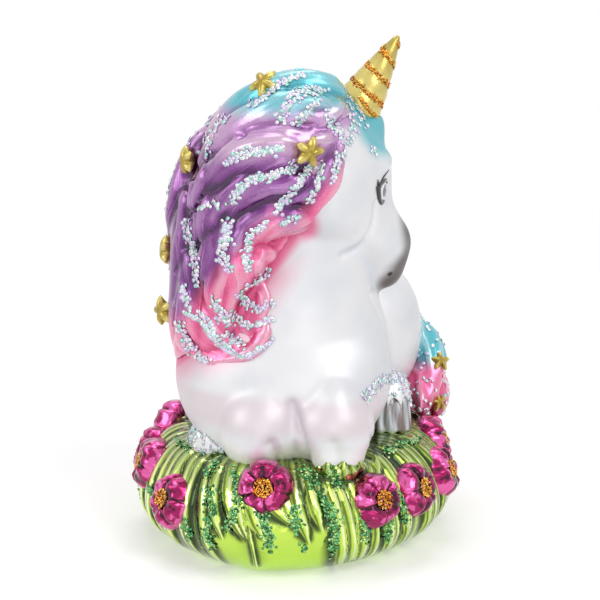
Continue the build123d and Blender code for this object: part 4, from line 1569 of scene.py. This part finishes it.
class UNICORN_OT_stars(bpy.types.Operator):
    """Sets puffed golden stars with five round arms on the mane, and small ones on the tail"""

    bl_idname = "unicorn.stars"
    bl_label = "Stars"

    def execute(self, context):
        sizes = context.scene.unicorn_sizes
        colours = context.scene.unicorn_colours
        seats = [self.seat(rows, sizes.star_reach) for rows in islands(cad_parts["stars"].data)]
        tail = tree_of(made_pieces["tail"])
        for pixel in tail_star_pixels:
            place, normal = at_pixel(tail, pixel)
            seats.append((np.array(place), np.array(normal), np.array(normal.orthogonal()),
                          sizes.star_reach * 0.7))
        heap = Heap()
        for centre, normal, side, size in seats:
            side = unit(side)
            heap.add_form(*star_form(size, sizes), centre, (side, np.cross(normal, side), normal))
        stars = heap.build("golden_stars")
        tidy_normals(stars)
        mark_relief(stars, rounds=12, depth=0.4 * MM)
        settle(stars, gold_finish(colours), ["stars"])
        return {"FINISHED"}

    def seat(self, rows, size):
        """Middle, normal, longest way and reach of the star that some points belong to."""
        centre = rows.mean(0)
        normal = np.linalg.svd(rows - centre)[2][2]
        away = centre - np.array((mane_middle[0], mane_middle[1], centre[2] - 4 * MM))
        normal = normal if normal @ away > 0 else -normal
        gaps = rows - centre
        gaps = gaps - np.outer(gaps @ normal, normal)
        return centre, normal, unit(gaps[np.argmax(np.linalg.norm(gaps, axis=1))]), size


class UNICORN_OT_glitter(bpy.types.Operator):
    """Scatters white flakes on the hair and green flakes on the grass"""

    bl_idname = "unicorn.glitter"
    bl_label = "Glitter"

    def execute(self, context):
        sizes = context.scene.unicorn_sizes
        colours = context.scene.unicorn_colours
        pale = flake_finish("white_flakes", hair_flake_tones, metallic=0.3, roughness=0.18)
        greens = [colours.leaf, colours.leaf_light, colours.leaf_deep, colours.leaf_pale]
        green = flake_finish("green_flakes", greens, metallic=0.4, roughness=0.22)
        hair = tree_of(made_pieces["mane"], made_pieces["body"], made_pieces["feather_hind_left"],
                       made_pieces["hind_hoof_left"])
        mane, body = tree_of(made_pieces["mane"]), tree_of(made_pieces["body"])
        rng = random.Random(8)
        heap = Heap()
        band_of_flakes(heap, hair, rng, white_lines, sizes.flake_size, tilt=0.12, spread=1.3, share=0.85)
        for turn in hidden_turns:
            for level in hidden_flake_levels:
                route = [(turn, level), (turn - 5, level - 0.004), (turn + 1, level - 0.009)]
                band_by_turn(heap, mane, body, mane_middle, rng, route, half=0.7, count=13,
                             size=sizes.flake_size, tilt=0.15)
        for made, share in [(made_pieces["tail"], 1.0)] + [(made_pieces[n], 0.9) for n in feather_nodes]:
            for place, normal in self.spots_on(made, rng, tuft_flakes):
                heap.add_flake(place, normal, sizes.flake_size * share, rng, tilt=0.3, tone=rng.random())
        settle(heap.build("white_glitter_flakes"), pale)
        grass = tree_of(made_pieces["grass"])
        heap = Heap()
        band_of_flakes(heap, grass, rng, green_lines, sizes.green_flake, tilt=0.25, spread=1.5, share=1.6)
        for _ in range(grass_rows):
            turn = rng.uniform(-75, 110)
            level = rng.uniform(0.009, 0.021)
            route = [(turn, level), (turn + 3, level - 0.003), (turn + 4, level - 0.006)]
            band_by_turn(heap, grass, body, (0, 0), rng, route, half=0.5, count=34,
                         size=sizes.green_flake, tilt=0.3)
        settle(heap.build("green_glitter_flakes"), green)
        return {"FINISHED"}

    def spots_on(self, made, rng, count):
        """Random places on a piece, each with its normal."""
        mesh = made.data
        rows, ways = coordinates(mesh), normals_of(mesh)
        picks = [rng.randrange(len(rows)) for _ in range(count)]
        return [(rows[pick], ways[pick]) for pick in picks]


class UNICORN_OT_stage(bpy.types.Operator):
    """Sets the pale floor, the soft lamps and the camera"""

    bl_idname = "unicorn.stage"
    bl_label = "Stage"

    def execute(self, context):
        colours = context.scene.unicorn_colours
        scene = context.scene
        scene.view_settings.view_transform = "Standard"
        self.floor(colours)
        self.world(scene)
        self.lamp("key_light", (-0.35, -0.55, 0.65), size=0.45, watts=2.3)
        self.lamp("side_light", (-0.45, 0.60, 0.45), size=0.40, watts=1.5)
        self.lamp("top_light", (0.25, 0.1, 0.8), size=0.5, watts=1.8)
        self.lamp("low_light", (-0.50, -0.16, 0.12), size=0.3, watts=0.3)
        camera = bpy.data.objects.new("camera", bpy.data.cameras.new("camera"))
        camera.data.lens = view_lens
        camera.data.sensor_width = view_sensor
        camera.data.clip_start = 0.01
        camera.location = view_place
        camera.rotation_euler = (view_aim - view_place).to_track_quat("-Z", "Y").to_euler()
        scene.collection.objects.link(camera)
        scene.camera = camera
        return {"FINISHED"}

    def lamp(self, name, place, size, watts):
        """A square soft lamp that faces the ornament."""
        light = bpy.data.lights.new(name, "AREA")
        light.size = size
        light.energy = watts
        made = bpy.data.objects.new(name, light)
        made.location = place
        made.rotation_euler = (view_aim - Vector(place)).to_track_quat("-Z", "Y").to_euler()
        bpy.context.scene.collection.objects.link(made)

    def floor(self, colours):
        """A wide flat floor, pale near the ornament and white far from it."""
        heap = Heap()
        reach, steps = 3.0, 24
        points = [(reach * (2 * a / steps - 1), reach * (2 * b / steps - 1), 0.0)
                  for a in range(steps + 1) for b in range(steps + 1)]
        faces = [(a * (steps + 1) + b, (a + 1) * (steps + 1) + b, (a + 1) * (steps + 1) + b + 1,
                  a * (steps + 1) + b + 1) for a in range(steps) for b in range(steps)]
        heap.add(points, faces)
        floor = heap.build("floor")
        finish = new_finish("pale_floor")
        base = finish.node("ShaderNodeBsdfDiffuse", inputs={"Color": (*colours.floor, 1.0)})
        rays = finish.rays("Camera")
        glow = finish.between(rays.most(finish.rays("Glossy")), finish.light(0.0), finish.light(0.35))
        both = finish.node("ShaderNodeAddShader", inputs={0: base, 1: glow})
        x, y, _ = finish.place()
        far = finish.smooth((x ** 2.0 + y ** 2.0) ** 0.5, *floor_fade) * rays
        floor.data.materials.append(finish.shown(finish.between(far, both, finish.light(1.0))))

    def world(self, scene):
        """White to the eye, to gloss and through glass, a plain level as light."""
        finish = Finish(bpy.data.worlds.new("white_room"))
        seen = finish.rays("Camera").most(finish.rays("Glossy")).most(finish.rays("Transmission"))
        soft = finish.light(0.4, "ShaderNodeBackground")
        bright = finish.light(1.0, "ShaderNodeBackground")
        scene.world = finish.shown(finish.between(seen, soft, bright), "ShaderNodeOutputWorld")


class UNICORN_PT_parts(bpy.types.Panel):
    """Lists what builds the ornament and its sizes and colours"""

    bl_label = "Unicorn ornament"
    bl_idname = "UNICORN_PT_parts"
    bl_space_type = "VIEW_3D"
    bl_region_type = "UI"
    bl_category = "Ornament"

    def draw(self, context):
        for step in steps:
            self.layout.operator(step.bl_idname)
        for group in (context.scene.unicorn_sizes, context.scene.unicorn_colours):
            for name in group.bl_rna.properties.keys():
                if name not in ("rna_type", "name"):
                    self.layout.prop(group, name)


steps = [UNICORN_OT_body, UNICORN_OT_mane, UNICORN_OT_tail, UNICORN_OT_horn, UNICORN_OT_face,
         UNICORN_OT_hooves, UNICORN_OT_grass, UNICORN_OT_flowers, UNICORN_OT_stars,
         UNICORN_OT_glitter, UNICORN_OT_stage]
classes = [UnicornSizes, UnicornColours] + steps + [UNICORN_PT_parts]


def register():
    """Add the operators, the panel and the two groups of properties."""
    for kind in classes:
        bpy.utils.register_class(kind)
    bpy.types.Scene.unicorn_sizes = PointerProperty(type=UnicornSizes)
    bpy.types.Scene.unicorn_colours = PointerProperty(type=UnicornColours)


def unregister():
    """Take away all that register added."""
    del bpy.types.Scene.unicorn_colours
    del bpy.types.Scene.unicorn_sizes
    for kind in reversed(classes):
        bpy.utils.unregister_class(kind)


def main():
    """Build every piece in order."""
    register()
    bpy.ops.unicorn.body()
    bpy.ops.unicorn.mane()
    bpy.ops.unicorn.tail()
    bpy.ops.unicorn.horn()
    bpy.ops.unicorn.face()
    bpy.ops.unicorn.hooves()
    bpy.ops.unicorn.grass()
    bpy.ops.unicorn.flowers()
    bpy.ops.unicorn.stars()
    bpy.ops.unicorn.glitter()
    bpy.ops.unicorn.stage()


if __name__ == "__main__":
    main()
